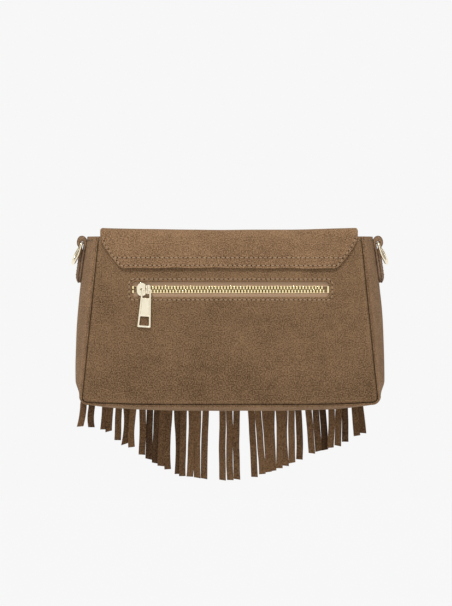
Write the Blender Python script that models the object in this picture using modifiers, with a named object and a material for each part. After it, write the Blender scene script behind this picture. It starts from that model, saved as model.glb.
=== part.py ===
"""Suede shoulder bag with a fringed flap, a zip pocket in its back and two strap rings.

Metres, +Z up.  The back of the bag faces -Y.  The origin lies midway between the
pivots of the two rings, from which the bag hangs.
"""
import math

import bmesh
import bpy

MM = 0.001

# Fit between pieces that touch
GAP = 0.3 * MM

# Body of the bag
RING_TO_MOUTH = 5.5 * MM          # rim of the mouth above the ring pivots
BODY_HEIGHT = 138.5 * MM          # rim of the mouth to the bottom seam
MOUTH_HALF_WIDTH = 109.0 * MM     # seam of panel and gusset at the rim
BASE_HALF_WIDTH = 123.0 * MM
MOUTH_DEPTH = 50.0 * MM
BASE_DEPTH = 60.0 * MM
PANEL_CORNER = 7.0 * MM
SUEDE = 1.6 * MM
GUSSET_BULGE_MOUTH = 7.9 * MM     # how far the gusset stands out from its seams
GUSSET_BULGE_WAIST = 9.6 * MM
GUSSET_BULGE_BASE = 3.5 * MM
WAIST_DROP = 55.0 * MM            # widest bulge below the rim

# Lining
LINING = 0.8 * MM
LINING_INSET = 1.2 * MM
LINING_CORNER = 5.0 * MM

# Flap
FLAP_HALF_WIDTH = 106.5 * MM      # at the fold
FLAP_FOOT_HALF_WIDTH = 114.5 * MM
FLAP_RISE = 6.9 * MM              # top of the fold above the rim
FLAP_CORNER = 6.6 * MM
FLAP_SUEDE = 1.4 * MM
FLAP_FRONT_ROOM = 3.6 * MM        # front leaf to the front panel at the rim
FLAP_FRONT_DROP = 90.8 * MM       # rim to the lower edge of the front leaf
FLAP_FOOT_ROOM = 1.5 * MM         # fringe stands this far in front of the lower front seam
FLAP_LINING = 0.5 * MM
FLAP_HEM = 12.0 * MM
YOKE_DROP = 26.3 * MM             # rim to the lower edge of the sewn back end
YOKE_FOOT_HALF_WIDTH = 88.9 * MM
YOKE_EASE = 2.2 * MM              # how far the slanted sides bow out

# Fringe
STRIP_WIDTH = 5.4 * MM
STRIP_THICKNESS = 1.2 * MM
STRIP_SLIT = 0.4 * MM             # between two strips that hang together
CLUMPS = (1, 1, 2, 3, 2, 3, 5, 3, 6, 2, 3, 3, 2)
FRINGE_BAND = 5.0 * MM
FRINGE_LENGTH = 111.5 * MM        # longest strip, band included
FRINGE_LIFT = 44.0 * MM           # outermost strips end this much higher
FRINGE_LIFT_POWER = 1.45
FRINGE_LOWEST_X = -6.0 * MM
FRINGE_SPLAY = 0.065             # feet spread wider than the band by this share
FRINGE_SWAY = -3.0 * MM           # feet hang this far to the left

# Zip pocket
SLOT_LEFT = -81.5 * MM
SLOT_RIGHT = 82.5 * MM
SLOT_HEIGHT = 12.6 * MM
SLOT_DROP = 44.1 * MM             # rim to the middle of the slot
SLOT_CHAMFER = 2.4 * MM
TAPE_THICKNESS = 0.5 * MM
TAPE_WIDTH = 13.0 * MM
TAPE_OVERRUN = 7.0 * MM
TOOTH_PITCH = 2.6 * MM
TOOTH_WIDTH = 1.1 * MM
TOOTH_LENGTH = 2.3 * MM
TOOTH_DEPTH = 2.0 * MM
BEAD_WIDTH = 0.7 * MM
WEB_THICKNESS = 0.5 * MM
STOP_LENGTH = 1.4 * MM
POCKET_WALL = 0.4 * MM
POCKET_ROOM = 2.6 * MM
POCKET_DROP = 72.0 * MM
POCKET_HALF_WIDTH = 96.0 * MM
POCKET_TOP_MARGIN = 4.0 * MM

# Slider and puller
SLIDER_LENGTH = 13.4 * MM
SLIDER_HEIGHT = 11.0 * MM
SLIDER_START = 1.8 * MM           # slot end to the slider
SLIDER_PLATE = 1.2 * MM
SLIDER_FLANGE = 1.3 * MM
SLIDER_EDGE = 0.25 * MM
BRIDGE_RADIUS = 3.6 * MM
BRIDGE_WIRE = 1.4 * MM
BRIDGE_SHIFT = 3.6 * MM           # bridge lies toward the closed chain
PIVOT_RISE = 1.25 * MM            # pivot of the puller above the slider's front plate
PULLER_LENGTH = 32.5 * MM
PULLER_TOP_WIDTH = 8.0 * MM
PULLER_FOOT_WIDTH = 11.2 * MM
PULLER_THICKNESS = 1.4 * MM
PULLER_RIM = 1.6 * MM
PULLER_EYE_LENGTH = 6.4 * MM
PULLER_PLATE_LENGTH = 13.4 * MM
PULLER_BAR = 1.0 * MM             # bar between the plate and a window
PULLER_RECESS = 0.4 * MM
PULLER_CORNER = 1.4 * MM
PULLER_LEAN = math.radians(3.7)

# Ring tabs and rings
TAB_WIDTH = 14.0 * MM
TAB_LAYER = 1.7 * MM
TAB_DROP = 33.0 * MM              # pivot to the rounded end
RING_WIRE = 2.5 * MM
RING_HALF_WIDTH = 9.2 * MM
RING_REACH = 18.5 * MM
RING_CORNER = 2.5 * MM
RING_LEAN = math.radians(20.0)

# Magnetic snap
SNAP_RADIUS = 7.0 * MM
SNAP_BELOW_RIM = 74.0 * MM
SNAP_RIM = 0.3 * MM

# Levels and slopes worked out from the sizes above
MOUTH_Z = RING_TO_MOUTH
BASE_Z = MOUTH_Z - BODY_HEIGHT
TILT = math.atan2((BASE_DEPTH - MOUTH_DEPTH) / 2, BODY_HEIGHT)

SUEDE_BROWN = (0.225, 0.135, 0.077, 1.0)
SUEDE_DARK = (0.150, 0.088, 0.050, 1.0)
LINING_BROWN = (0.330, 0.230, 0.150, 1.0)
TAPE_TAN = (0.430, 0.290, 0.185, 1.0)
PALE_GOLD = (0.820, 0.700, 0.470, 1.0)


# Scene, collections and materials
for old in list(bpy.data.objects):
    bpy.data.objects.remove(old, do_unlink=True)

parts = bpy.data.collections.new("fringed_suede_bag")
cutters = bpy.data.collections.new("cutters")
for collection in (parts, cutters):
    bpy.context.scene.collection.children.link(collection)


def finish(name, colour, roughness, metallic=0.0):
    """One Principled material."""
    material = bpy.data.materials.new(name)
    material.use_nodes = True
    shader = material.node_tree.nodes["Principled BSDF"]
    shader.inputs["Base Color"].default_value = colour
    shader.inputs["Roughness"].default_value = roughness
    shader.inputs["Metallic"].default_value = metallic
    return material


suede = finish("suede", SUEDE_BROWN, 0.95)
fringe_suede = finish("fringe_suede", SUEDE_DARK, 0.95)
lining_cloth = finish("lining_cloth", LINING_BROWN, 0.85)
tape_cloth = finish("tape_cloth", TAPE_TAN, 0.8)
gold = finish("pale_gold", PALE_GOLD, 0.25, 1.0)


# Helpers that make and place objects
def add_object(name, data, material, parent=None, location=(0, 0, 0), rotation=(0, 0, 0)):
    """Link a new object to the parts, with its material and place under its parent."""
    item = bpy.data.objects.new(name, data)
    item.data.materials.append(material)
    parts.objects.link(item)
    item.parent = parent
    item.location = location
    item.rotation_euler = rotation
    return item


def add_frame(name, location, rotation=(0, 0, 0), parent=None):
    """An empty that carries the pieces of one panel or one moving body."""
    frame = bpy.data.objects.new(name, None)
    frame.empty_display_size = 10 * MM
    parts.objects.link(frame)
    frame.parent = parent
    frame.location = location
    frame.rotation_euler = rotation
    return frame


def outline_curve(name, outlines, thickness):
    """A flat outline, with any holes, filled and given a thickness."""
    curve = bpy.data.curves.new(name, "CURVE")
    curve.dimensions = "2D"
    curve.fill_mode = "BOTH"
    curve.extrude = thickness / 2
    for points in outlines:
        spline = curve.splines.new("POLY")
        spline.points.add(len(points) - 1)
        for point, (x, y) in zip(spline.points, points):
            point.co = (x, y, 0, 1)
        spline.use_cyclic_u = True
    return curve


def upright_piece(name, outlines, near, far, material, parent):
    """An outline in x and z, filling the parent's y from near to far."""
    curve = outline_curve(name, outlines, far - near)
    return add_object(name, curve, material, parent, (0, (near + far) / 2, 0), (math.pi / 2, 0, 0))


def loft(name, rings, material, parent=None, open_top=False):
    """A body through rings of points, capped at both ends, or open at its first ring."""
    bm = bmesh.new()
    loops = [[bm.verts.new(point) for point in ring] for ring in rings]
    count = len(rings[0])
    for first, second in zip(loops, loops[1:]):
        for i in range(count):
            j = (i + 1) % count
            bm.faces.new((first[i], first[j], second[j], second[i]))
    bm.faces.new(loops[-1])
    if not open_top:
        bm.faces.new(loops[0])
    bmesh.ops.recalc_face_normals(bm, faces=bm.faces)
    mesh = bpy.data.meshes.new(name)
    bm.to_mesh(mesh)
    bm.free()
    return add_object(name, mesh, material, parent)


def box(name, low, high, collection=None, material=None, parent=None):
    """A box between two corners, in its parent's frame."""
    bm = bmesh.new()
    bmesh.ops.create_cube(bm, size=1.0)
    middle = [(a + b) / 2 for a, b in zip(low, high)]
    size = [b - a for a, b in zip(low, high)]
    bmesh.ops.scale(bm, vec=size, verts=bm.verts)
    mesh = bpy.data.meshes.new(name)
    bm.to_mesh(mesh)
    bm.free()
    if collection is None:
        return add_object(name, mesh, material, parent, middle)
    item = bpy.data.objects.new(name, mesh)
    collection.objects.link(item)
    item.parent = parent
    item.location = middle
    item.hide_render = True
    item.display_type = "WIRE"
    return item


def combine(item, other, operation):
    """Cut or join another object into this one."""
    change = item.modifiers.new(other.name, "BOOLEAN")
    change.operation = operation
    change.object = other


def to_mesh(item, collection=None):
    """Replace a curve object by its welded mesh, in the same place."""
    bpy.context.view_layer.update()
    seen = item.evaluated_get(bpy.context.evaluated_depsgraph_get())
    mesh = bpy.data.meshes.new_from_object(seen)
    bm = bmesh.new()
    bm.from_mesh(mesh)
    bmesh.ops.remove_doubles(bm, verts=bm.verts, dist=0.001 * MM)
    bmesh.ops.recalc_face_normals(bm, faces=bm.faces)
    bm.to_mesh(mesh)
    bm.free()
    name, parent, place = item.name, item.parent, item.matrix_world.copy()
    bpy.data.objects.remove(item, do_unlink=True)
    solid = bpy.data.objects.new(name, mesh)
    (collection or parts).objects.link(solid)
    solid.parent = parent
    bpy.context.view_layer.update()
    solid.matrix_world = place
    if collection:
        solid.hide_render = True
        solid.display_type = "WIRE"
    return solid


def arc(centre_x, centre_y, radius, start, end, steps):
    """Points on an arc, angles in degrees."""
    points = []
    for i in range(steps + 1):
        angle = math.radians(start + (end - start) * i / steps)
        points.append((centre_x + radius * math.cos(angle), centre_y + radius * math.sin(angle)))
    return points


def rounded_rectangle(half_x, half_y, radius, steps=3, middle_y=0.0):
    """Counter-clockwise outline with round corners."""
    points = []
    for sign_x, sign_y, start in ((1, 1, 0), (-1, 1, 90), (-1, -1, 180), (1, -1, 270)):
        centre_x = sign_x * (half_x - radius)
        centre_y = middle_y + sign_y * (half_y - radius)
        points += arc(centre_x, centre_y, radius, start, start + 90, steps)
    return points


# Shape of the body: everything below reads these
def down(z):
    """Share of the way from the rim to the bottom seam."""
    return (MOUTH_Z - z) / BODY_HEIGHT


def seam_half_width(z):
    return MOUTH_HALF_WIDTH + (BASE_HALF_WIDTH - MOUTH_HALF_WIDTH) * down(z)


def half_depth(z):
    return (MOUTH_DEPTH + (BASE_DEPTH - MOUTH_DEPTH) * down(z)) / 2


def gusset_bulge(z):
    """A parabola through the bulge at the rim, at the waist and at the bottom."""
    t = down(z)
    waist = WAIST_DROP / BODY_HEIGHT
    at_rim = GUSSET_BULGE_MOUTH * (t - waist) * (t - 1) / waist
    at_waist = GUSSET_BULGE_WAIST * t * (t - 1) / (waist * (waist - 1))
    at_base = GUSSET_BULGE_BASE * t * (t - waist) / (1 - waist)
    return at_rim + at_waist + at_base


def seam_stations():
    """Points of the seam from the left rim round the bottom to the right rim, with their normals."""
    corner_z = BASE_Z + PANEL_CORNER
    corner_x = seam_half_width(corner_z) - PANEL_CORNER
    left = []
    side_steps = 9
    for i in range(side_steps):
        z = MOUTH_Z + (corner_z - MOUTH_Z) * i / side_steps
        left.append((-seam_half_width(z), z, -1.0, 0.0))
    for i in range(7):
        angle = math.radians(180 + 15 * i)
        nx, nz = math.cos(angle), math.sin(angle)
        left.append((-corner_x + PANEL_CORNER * nx, corner_z + PANEL_CORNER * nz, nx, nz))
    right = [(-x, z, -nx, nz) for x, z, nx, nz in reversed(left)]
    return left + right


def gusset_outer(z):
    """Half width of the whole body at a level, on its middle plane."""
    return seam_half_width(z) + GAP + SUEDE + gusset_bulge(z)


back_frame = add_frame("back_frame", (0, -MOUTH_DEPTH / 2, MOUTH_Z), (-TILT, 0, 0))
front_frame = add_frame("front_frame", (0, MOUTH_DEPTH / 2, MOUTH_Z), (TILT, 0, 0))


def on_panel(x, z):
    """A point of the body's outline, in the frame of a sloping panel."""
    return (x, (z - MOUTH_Z) / math.cos(TILT))


# Panels
def slot_outline(grow=0.0):
    """The zip slot with chamfered corners, in the back panel's frame."""
    left, right = SLOT_LEFT - grow, SLOT_RIGHT + grow
    top = -SLOT_DROP + SLOT_HEIGHT / 2 + grow
    bottom = -SLOT_DROP - SLOT_HEIGHT / 2 - grow
    c = SLOT_CHAMFER
    return [(left + c, bottom), (right - c, bottom), (right, bottom + c), (right, top - c),
            (right - c, top), (left + c, top), (left, top - c), (left, bottom + c)]


panel_outline = [on_panel(x, z) for x, z, nx, nz in seam_stations()]
upright_piece("back_panel", [panel_outline, slot_outline()], 0, SUEDE, suede, back_frame)
upright_piece("front_panel", [panel_outline], -SUEDE, 0, suede, front_frame)


# Gusset: one strip down the sides and along the bottom, standing out between its seams
def gusset_ring(x, z, nx, nz):
    steps = 10
    depth = half_depth(z)
    bulge = gusset_bulge(max(z, BASE_Z))
    outer, inner = [], []
    for i in range(steps + 1):
        t = i / steps
        y = depth * (2 * t - 1)
        lift = GAP + bulge * (1 - abs(2 * t - 1) ** 2.2)
        inner.append((x + nx * lift, y, z + nz * lift))
        outer.append((x + nx * (lift + SUEDE), y, z + nz * (lift + SUEDE)))
    return outer + inner[::-1]


loft("gusset", [gusset_ring(*station) for station in seam_stations()], suede)


# Lining: an open-topped sack that leaves room for the zip pocket behind the back panel
TAPE_FACE = SUEDE + GAP                      # depths behind the back panel's outer face
POCKET_FACE = TAPE_FACE + TAPE_THICKNESS + GAP
POCKET_BACK = POCKET_FACE + 2 * POCKET_WALL + POCKET_ROOM


def lining_ring(z, narrower, behind_back):
    front = half_depth(z) - SUEDE - GAP
    back = half_depth(z) - behind_back - GAP
    half_y = (front + back) / 2
    middle = (front - back) / 2
    outline = rounded_rectangle(seam_half_width(z) - narrower, half_y, LINING_CORNER, 3, middle)
    return [(x, y, z) for x, y in outline]


pocket_top_z = MOUTH_Z - SLOT_DROP + TAPE_WIDTH + POCKET_TOP_MARGIN
low_z = BASE_Z + PANEL_CORNER
lining = loft("lining", [
    lining_ring(MOUTH_Z, LINING_INSET, SUEDE + GAP),
    lining_ring(pocket_top_z, LINING_INSET, POCKET_BACK + GAP),
    lining_ring(low_z, LINING_INSET, POCKET_BACK + GAP),
    lining_ring(BASE_Z + LINING_INSET, LINING_INSET + PANEL_CORNER, POCKET_BACK + GAP),
], lining_cloth, open_top=True)
lining_wall = lining.modifiers.new("wall", "SOLIDIFY")
lining_wall.thickness = LINING
lining_wall.offset = -1
lining_wall.use_even_offset = True


# Zip: two tapes, two combs of teeth and the stops, seen through the slot
slot_middle = -SLOT_DROP
tape_mid_depth = TAPE_FACE + TAPE_THICKNESS / 2
half_web_room = WEB_THICKNESS / 2 + GAP
tape_left = SLOT_LEFT - TAPE_OVERRUN
tape_right = SLOT_RIGHT + TAPE_OVERRUN
bead_inner = half_web_room + TOOTH_LENGTH - BEAD_WIDTH
comb_outer = half_web_room + TOOTH_LENGTH


def strip_outline(left, right, low, high):
    return [(left, low), (right, low), (right, high), (left, high)]


def comb_outline(side):
    """A bead along the tape with teeth that reach toward the middle."""
    start = SLOT_LEFT + STOP_LENGTH + 2 * GAP
    end = SLOT_RIGHT - STOP_LENGTH - 2 * GAP
    count = int((end - start - TOOTH_WIDTH) / TOOTH_PITCH)
    shift = TOOTH_PITCH / 2 if side < 0 else 0.0
    points = [(start, comb_outer), (start, bead_inner)]
    for i in range(count):
        left = start + i * TOOTH_PITCH + shift + TOOTH_WIDTH / 4
        right = left + TOOTH_WIDTH
        points += [(left, bead_inner), (left, half_web_room), (right, half_web_room), (right, bead_inner)]
    points += [(end, bead_inner), (end, comb_outer)]
    return [(x, slot_middle + side * z) for x, z in points]


for side, name in ((1, "upper"), (-1, "lower")):
    tape_near = slot_middle + side * (comb_outer + GAP)
    tape_far = slot_middle + side * (TAPE_WIDTH + half_web_room)
    low, high = min(tape_near, tape_far), max(tape_near, tape_far)
    upright_piece("zip_tape_" + name, [strip_outline(tape_left, tape_right, low, high)],
                  TAPE_FACE, TAPE_FACE + TAPE_THICKNESS, tape_cloth, back_frame)
    upright_piece("zip_teeth_" + name, [comb_outline(side)],
                  tape_mid_depth - TOOTH_DEPTH / 2, tape_mid_depth + TOOTH_DEPTH / 2, gold, back_frame)
    near, far = slot_middle + side * half_web_room, slot_middle + side * comb_outer
    low, high = min(near, far), max(near, far)
    upright_piece("zip_top_stop_" + name,
                  [strip_outline(SLOT_LEFT + GAP, SLOT_LEFT + GAP + STOP_LENGTH, low, high)],
                  tape_mid_depth - TOOTH_DEPTH / 2, tape_mid_depth + TOOTH_DEPTH / 2, gold, back_frame)
upright_piece("zip_bottom_stop",
              [strip_outline(SLOT_RIGHT - GAP - STOP_LENGTH, SLOT_RIGHT - GAP,
                             slot_middle - comb_outer, slot_middle + comb_outer)],
              tape_mid_depth - TOOTH_DEPTH / 2, tape_mid_depth + TOOTH_DEPTH / 2, gold, back_frame)


# Zip pocket: a flat pouch behind the tapes, open at the slot
pocket_high = slot_middle + TAPE_WIDTH + POCKET_TOP_MARGIN
pocket_low = pocket_high - POCKET_DROP
pocket = box("pocket_lining", (-POCKET_HALF_WIDTH, POCKET_FACE, pocket_low),
             (POCKET_HALF_WIDTH, POCKET_BACK, pocket_high), material=lining_cloth, parent=back_frame)
room = box("pocket_room", (-POCKET_HALF_WIDTH + POCKET_WALL, POCKET_FACE + POCKET_WALL, pocket_low + POCKET_WALL),
           (POCKET_HALF_WIDTH - POCKET_WALL, POCKET_BACK - POCKET_WALL, pocket_high - POCKET_WALL),
           collection=cutters, parent=back_frame)
mouth_of_pocket = box("pocket_mouth",
                      (SLOT_LEFT, POCKET_FACE - POCKET_WALL, slot_middle - SLOT_HEIGHT / 2),
                      (SLOT_RIGHT, POCKET_FACE + 2 * POCKET_WALL, slot_middle + SLOT_HEIGHT / 2),
                      collection=cutters, parent=back_frame)
combine(pocket, room, "DIFFERENCE")
combine(pocket, mouth_of_pocket, "DIFFERENCE")


# Slider: two plates with flanges round the teeth, held apart by a web, and a bridge in front
tooth_front = tape_mid_depth - TOOTH_DEPTH / 2
tooth_back = tape_mid_depth + TOOTH_DEPTH / 2
front_plate_inner = tooth_front - GAP
front_plate_outer = front_plate_inner - SLIDER_PLATE
rear_plate_inner = tooth_back + GAP
rear_plate_outer = rear_plate_inner + SLIDER_PLATE
flange_front = TAPE_FACE - GAP
flange_rear = TAPE_FACE + TAPE_THICKNESS + GAP
slider_x = SLOT_LEFT + SLIDER_START + SLIDER_LENGTH / 2
slider_frame = add_frame("slider_frame", (slider_x, 0, slot_middle), parent=back_frame)


def slider_section():
    """Half of the slider's section: depth behind the panel's face, and height."""
    top = SLIDER_HEIGHT / 2
    flange = comb_outer + GAP
    web = WEB_THICKNESS / 2
    rear_top = flange + SLIDER_FLANGE
    return [(front_plate_outer, top - SLIDER_EDGE), (front_plate_outer + SLIDER_EDGE, top),
            (front_plate_inner, top), (flange_front, flange + SLIDER_FLANGE), (flange_front, flange),
            (front_plate_inner, flange), (front_plate_inner, web), (rear_plate_inner, web),
            (rear_plate_inner, flange), (flange_rear, flange), (flange_rear, rear_top),
            (rear_plate_outer, rear_top)]


half = slider_section()
section = half + [(y, -z) for y, z in reversed(half)]
slider = add_object("slider", outline_curve("slider", [section], SLIDER_LENGTH), gold, slider_frame,
                    (0, 0, 0), (math.pi / 2, 0, math.pi / 2))
slider = to_mesh(slider)
pivot_depth = front_plate_outer - PIVOT_RISE
bridge_curve = bpy.data.curves.new("bridge", "CURVE")
bridge_curve.dimensions = "3D"
bridge_curve.bevel_depth = BRIDGE_WIRE / 2
bridge_curve.bevel_resolution = 2
bridge_curve.use_fill_caps = True
bridge_line = bridge_curve.splines.new("POLY")
foot = SLIDER_PLATE / 2
bridge_points = [(front_plate_outer + foot, -BRIDGE_RADIUS)]
bridge_points += [(pivot_depth - BRIDGE_RADIUS * math.cos(math.radians(a)),
                   BRIDGE_RADIUS * math.sin(math.radians(a))) for a in range(-90, 91, 15)]
bridge_points += [(front_plate_outer + foot, BRIDGE_RADIUS)]
bridge_line.points.add(len(bridge_points) - 1)
for point, (y, z) in zip(bridge_line.points, bridge_points):
    point.co = (BRIDGE_SHIFT, y, z, 1)
bridge = add_object("slider_bridge", bridge_curve, gold, slider_frame)
bridge = to_mesh(bridge, cutters)
combine(slider, bridge, "UNION")


# Puller: a framed plate that hangs from the bridge
puller_frame = add_frame("puller_frame", (BRIDGE_SHIFT, pivot_depth, 0), parent=slider_frame)


def puller_half_width(below):
    share = below / PULLER_LENGTH
    return (PULLER_TOP_WIDTH + (PULLER_FOOT_WIDTH - PULLER_TOP_WIDTH) * share) / 2


def puller_window(start, end, inset):
    upper, lower = puller_half_width(start) - inset, puller_half_width(end) - inset
    z_high, z_low = PULLER_RIM / 2 - start, PULLER_RIM / 2 - end
    return [(-upper, z_high), (-lower, z_low), (lower, z_low), (upper, z_high)]


def puller_outline():
    """Tapered plate with rounded corners; its top bar is centred on the pivot."""
    high, low = PULLER_RIM / 2, PULLER_RIM / 2 - PULLER_LENGTH
    r = PULLER_CORNER
    top, bottom = PULLER_TOP_WIDTH / 2, PULLER_FOOT_WIDTH / 2
    return (arc(top - r, high - r, r, 0, 90, 4) + arc(-top + r, high - r, r, 90, 180, 4)
            + arc(-bottom + r, low + r, r, 180, 270, 4) + arc(bottom - r, low + r, r, 270, 360, 4))


eye_end = PULLER_RIM + PULLER_EYE_LENGTH
plate_start = eye_end + PULLER_BAR
plate_end = plate_start + PULLER_PLATE_LENGTH
window_start = plate_end + PULLER_BAR
window_end = PULLER_LENGTH - PULLER_RIM
half_puller = PULLER_THICKNESS / 2
puller = upright_piece("puller", [puller_outline(), puller_window(PULLER_RIM, eye_end, PULLER_RIM),
                                  puller_window(window_start, window_end, PULLER_RIM)],
                       -half_puller, half_puller, gold, puller_frame)
puller.rotation_euler[1] = PULLER_LEAN
puller = to_mesh(puller)
recess = upright_piece("puller_recess", [puller_window(plate_start, plate_end, PULLER_RIM)],
                       -half_puller - PULLER_RECESS, -half_puller + PULLER_RECESS, gold, puller_frame)
recess.rotation_euler[1] = PULLER_LEAN
recess = to_mesh(recess, cutters)
combine(puller, recess, "DIFFERENCE")


# Flap: its back end is sewn to the back panel, the rest turns over the mouth
def yoke_outline():
    """Back end with convex slanted sides, in the back panel's frame."""
    steps = 5
    right = []
    for i in range(steps + 1):
        t = i / steps
        x = FLAP_HALF_WIDTH + (YOKE_FOOT_HALF_WIDTH - FLAP_HALF_WIDTH) * t
        z = -YOKE_DROP * t
        bow = YOKE_EASE * math.sin(math.pi * t)
        right.append((x + bow, z - bow))
    return [(-x, z) for x, z in right] + right[::-1]


yoke_face = -GAP - FLAP_SUEDE
upright_piece("flap_yoke", [yoke_outline()], yoke_face, -GAP, suede, back_frame)

hinge_y = -MOUTH_DEPTH / 2 + yoke_face
hinge_z = MOUTH_Z + GAP / 2
flap_frame = add_frame("flap_frame", (0, hinge_y, hinge_z))
flap_front_y = MOUTH_DEPTH / 2 + FLAP_FRONT_ROOM + FLAP_SUEDE
flap_top_z = MOUTH_Z + FLAP_RISE
fringe_back_y = BASE_DEPTH / 2 + FLAP_FOOT_ROOM
flap_foot_y = fringe_back_y + FLAP_SUEDE
flap_foot_z = MOUTH_Z - FLAP_FRONT_DROP


def flap_line(inward, stop_short):
    """The flap from its hinge over the mouth to its lower edge, moved inward: y, z and share of the front."""
    radius = FLAP_CORNER - inward
    centre_z = flap_top_z - FLAP_CORNER
    points = [(hinge_y + inward, hinge_z + GAP / 2, 0.0)]
    points += [(y, z, 0.0) for y, z in arc(hinge_y + FLAP_CORNER, centre_z, radius, 180, 90, 6)]
    points += [(y, z, 0.0) for y, z in arc(flap_front_y - FLAP_CORNER, centre_z, radius, 90, 0, 6)]
    steps = 6
    start_y = flap_front_y - inward
    front_drop = centre_z - flap_foot_z
    for i in range(1, steps + 1):
        t = (1 - stop_short / front_drop) * i / steps
        points.append((start_y + (flap_foot_y - flap_front_y) * t, centre_z - front_drop * t, t))
    return points


def flap_rows(inward, narrower, stop_short):
    """Rows of the flap's sheet in the frame of its hinge."""
    rows = []
    for y, z, front in flap_line(inward, stop_short):
        half_width = FLAP_HALF_WIDTH + (FLAP_FOOT_HALF_WIDTH - FLAP_HALF_WIDTH) * front - narrower
        rows.append([(-half_width, y - hinge_y, z - hinge_z), (half_width, y - hinge_y, z - hinge_z)])
    return rows


def flap_solid(name, inward, thickness, narrower, stop_short, material):
    outer = flap_rows(inward, narrower, stop_short)
    inner = flap_rows(inward + thickness, narrower, stop_short)
    rings = [a + b[::-1] for a, b in zip(outer, inner)]
    return loft(name, rings, material, flap_frame)


flap_solid("flap", 0.0, FLAP_SUEDE, 0.0, 0.0, suede)
flap_solid("flap_lining", FLAP_SUEDE + GAP, FLAP_LINING, LINING_INSET, FLAP_HEM, lining_cloth)


# Fringe: strips cut from one piece, hanging from the lower edge of the front leaf
fringe_axis_z = flap_foot_z - GAP / 2
fringe_frame = add_frame("fringe_frame", (0, fringe_back_y - hinge_y, fringe_axis_z - hinge_z),
                         parent=flap_frame)


def strip_feet():
    """Centre of each strip at the band and at its foot: the feet gather in clumps."""
    count = sum(CLUMPS)
    pitch = 2 * FLAP_FOOT_HALF_WIDTH / count
    tight = STRIP_WIDTH + STRIP_SLIT
    strips = []
    index = 0
    for size in CLUMPS:
        first = -FLAP_FOOT_HALF_WIDTH + pitch * (index + 0.5)
        middle = first + pitch * (size - 1) / 2
        for i in range(size):
            foot = middle * (1 + FRINGE_SPLAY) + FRINGE_SWAY + tight * (i - (size - 1) / 2)
            strips.append((first + pitch * i, foot))
        index += size
    return strips


def strip_end(x):
    """Height of a strip's end below the band's upper edge."""
    share = abs(x - FRINGE_LOWEST_X) / FLAP_FOOT_HALF_WIDTH
    return -FRINGE_LENGTH + FRINGE_LIFT * share ** FRINGE_LIFT_POWER


fringe_outline = [(FLAP_FOOT_HALF_WIDTH, -GAP / 2), (-FLAP_FOOT_HALF_WIDTH, -GAP / 2)]
for top_x, foot_x in strip_feet():
    half_strip = STRIP_WIDTH / 2
    end = strip_end(foot_x)
    fringe_outline += [(top_x - half_strip, -FRINGE_BAND), (foot_x - half_strip, end),
                       (foot_x + half_strip, end), (top_x + half_strip, -FRINGE_BAND)]
upright_piece("fringe", [fringe_outline], 0, STRIP_THICKNESS, fringe_suede, fringe_frame)


# Magnetic snap: a socket on the front panel and a stud on the flap, half of the room each
snap_z = MOUTH_Z - SNAP_BELOW_RIM
front_start_z = flap_top_z - FLAP_CORNER
leaf_share = (front_start_z - snap_z) / (front_start_z - flap_foot_z)
leaf_inner_y = flap_front_y + (flap_foot_y - flap_front_y) * leaf_share - FLAP_SUEDE - GAP - FLAP_LINING
leaf_slope = math.atan2(flap_foot_y - flap_front_y, front_start_z - flap_foot_z)
snap_room = leaf_inner_y - half_depth(snap_z)
snap_thickness = (snap_room - 3 * GAP) / 2


def disc(name, thickness, parent, location, rotation, material):
    """A round plate with a small bevel, its axis along y."""
    bm = bmesh.new()
    bmesh.ops.create_cone(bm, cap_ends=True, segments=32, radius1=SNAP_RADIUS, radius2=SNAP_RADIUS,
                          depth=thickness)
    mesh = bpy.data.meshes.new(name)
    bm.to_mesh(mesh)
    bm.free()
    plate = add_object(name, mesh, material, parent, location, rotation)
    bevel = plate.modifiers.new("edge", "BEVEL")
    bevel.width = SNAP_RIM
    bevel.segments = 2
    return plate


disc("snap_socket", snap_thickness, front_frame,
     (0, GAP + snap_thickness / 2, -SNAP_BELOW_RIM / math.cos(TILT)), (math.pi / 2, 0, 0), gold)
disc("snap_stud", snap_thickness, flap_frame,
     (0, leaf_inner_y - GAP - snap_thickness / 2 - hinge_y, snap_z - hinge_z),
     (math.pi / 2 + leaf_slope, 0, 0), gold)


# Ring tabs and rings at the ends of the mouth
loop_radius = RING_WIRE / 2 + GAP + TAB_LAYER
pivot_x = gusset_outer(0) + GAP + loop_radius


def tab_outline():
    """Strap folded round the ring's bar, its two leaves lying down the gusset (right side)."""
    leaf = 2 * TAB_LAYER
    steps = 6
    inner, outer = [], []
    for i in range(steps + 1):
        z = -loop_radius - (TAB_DROP - leaf / 2 - loop_radius) * i / steps
        x = gusset_outer(z) + GAP
        inner.append((x, z))
        outer.append((x + leaf, z))
    end_x, end_z = inner[-1][0] + leaf / 2, inner[-1][1]
    loop = arc(pivot_x, 0, loop_radius, -20, 180, 12)
    return inner[::-1] + loop[::-1] + outer + arc(end_x, end_z, leaf / 2, 0, -180, 6)[1:-1]


def ring_points():
    """A D in the ring's own plane: the bar lies on the pivot along y."""
    corner = RING_CORNER
    straight = RING_REACH - RING_HALF_WIDTH
    half = [(RING_HALF_WIDTH - corner, 0.0)]
    half += [(y, z) for y, z in arc(RING_HALF_WIDTH - corner, -corner, corner, 90, 0, 3)[1:]]
    half += [(y, z) for y, z in arc(0, -straight, RING_HALF_WIDTH, 0, -90, 8)]
    mirrored = [(-y, z) for y, z in reversed(half[:-1])]
    return half + mirrored


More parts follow.
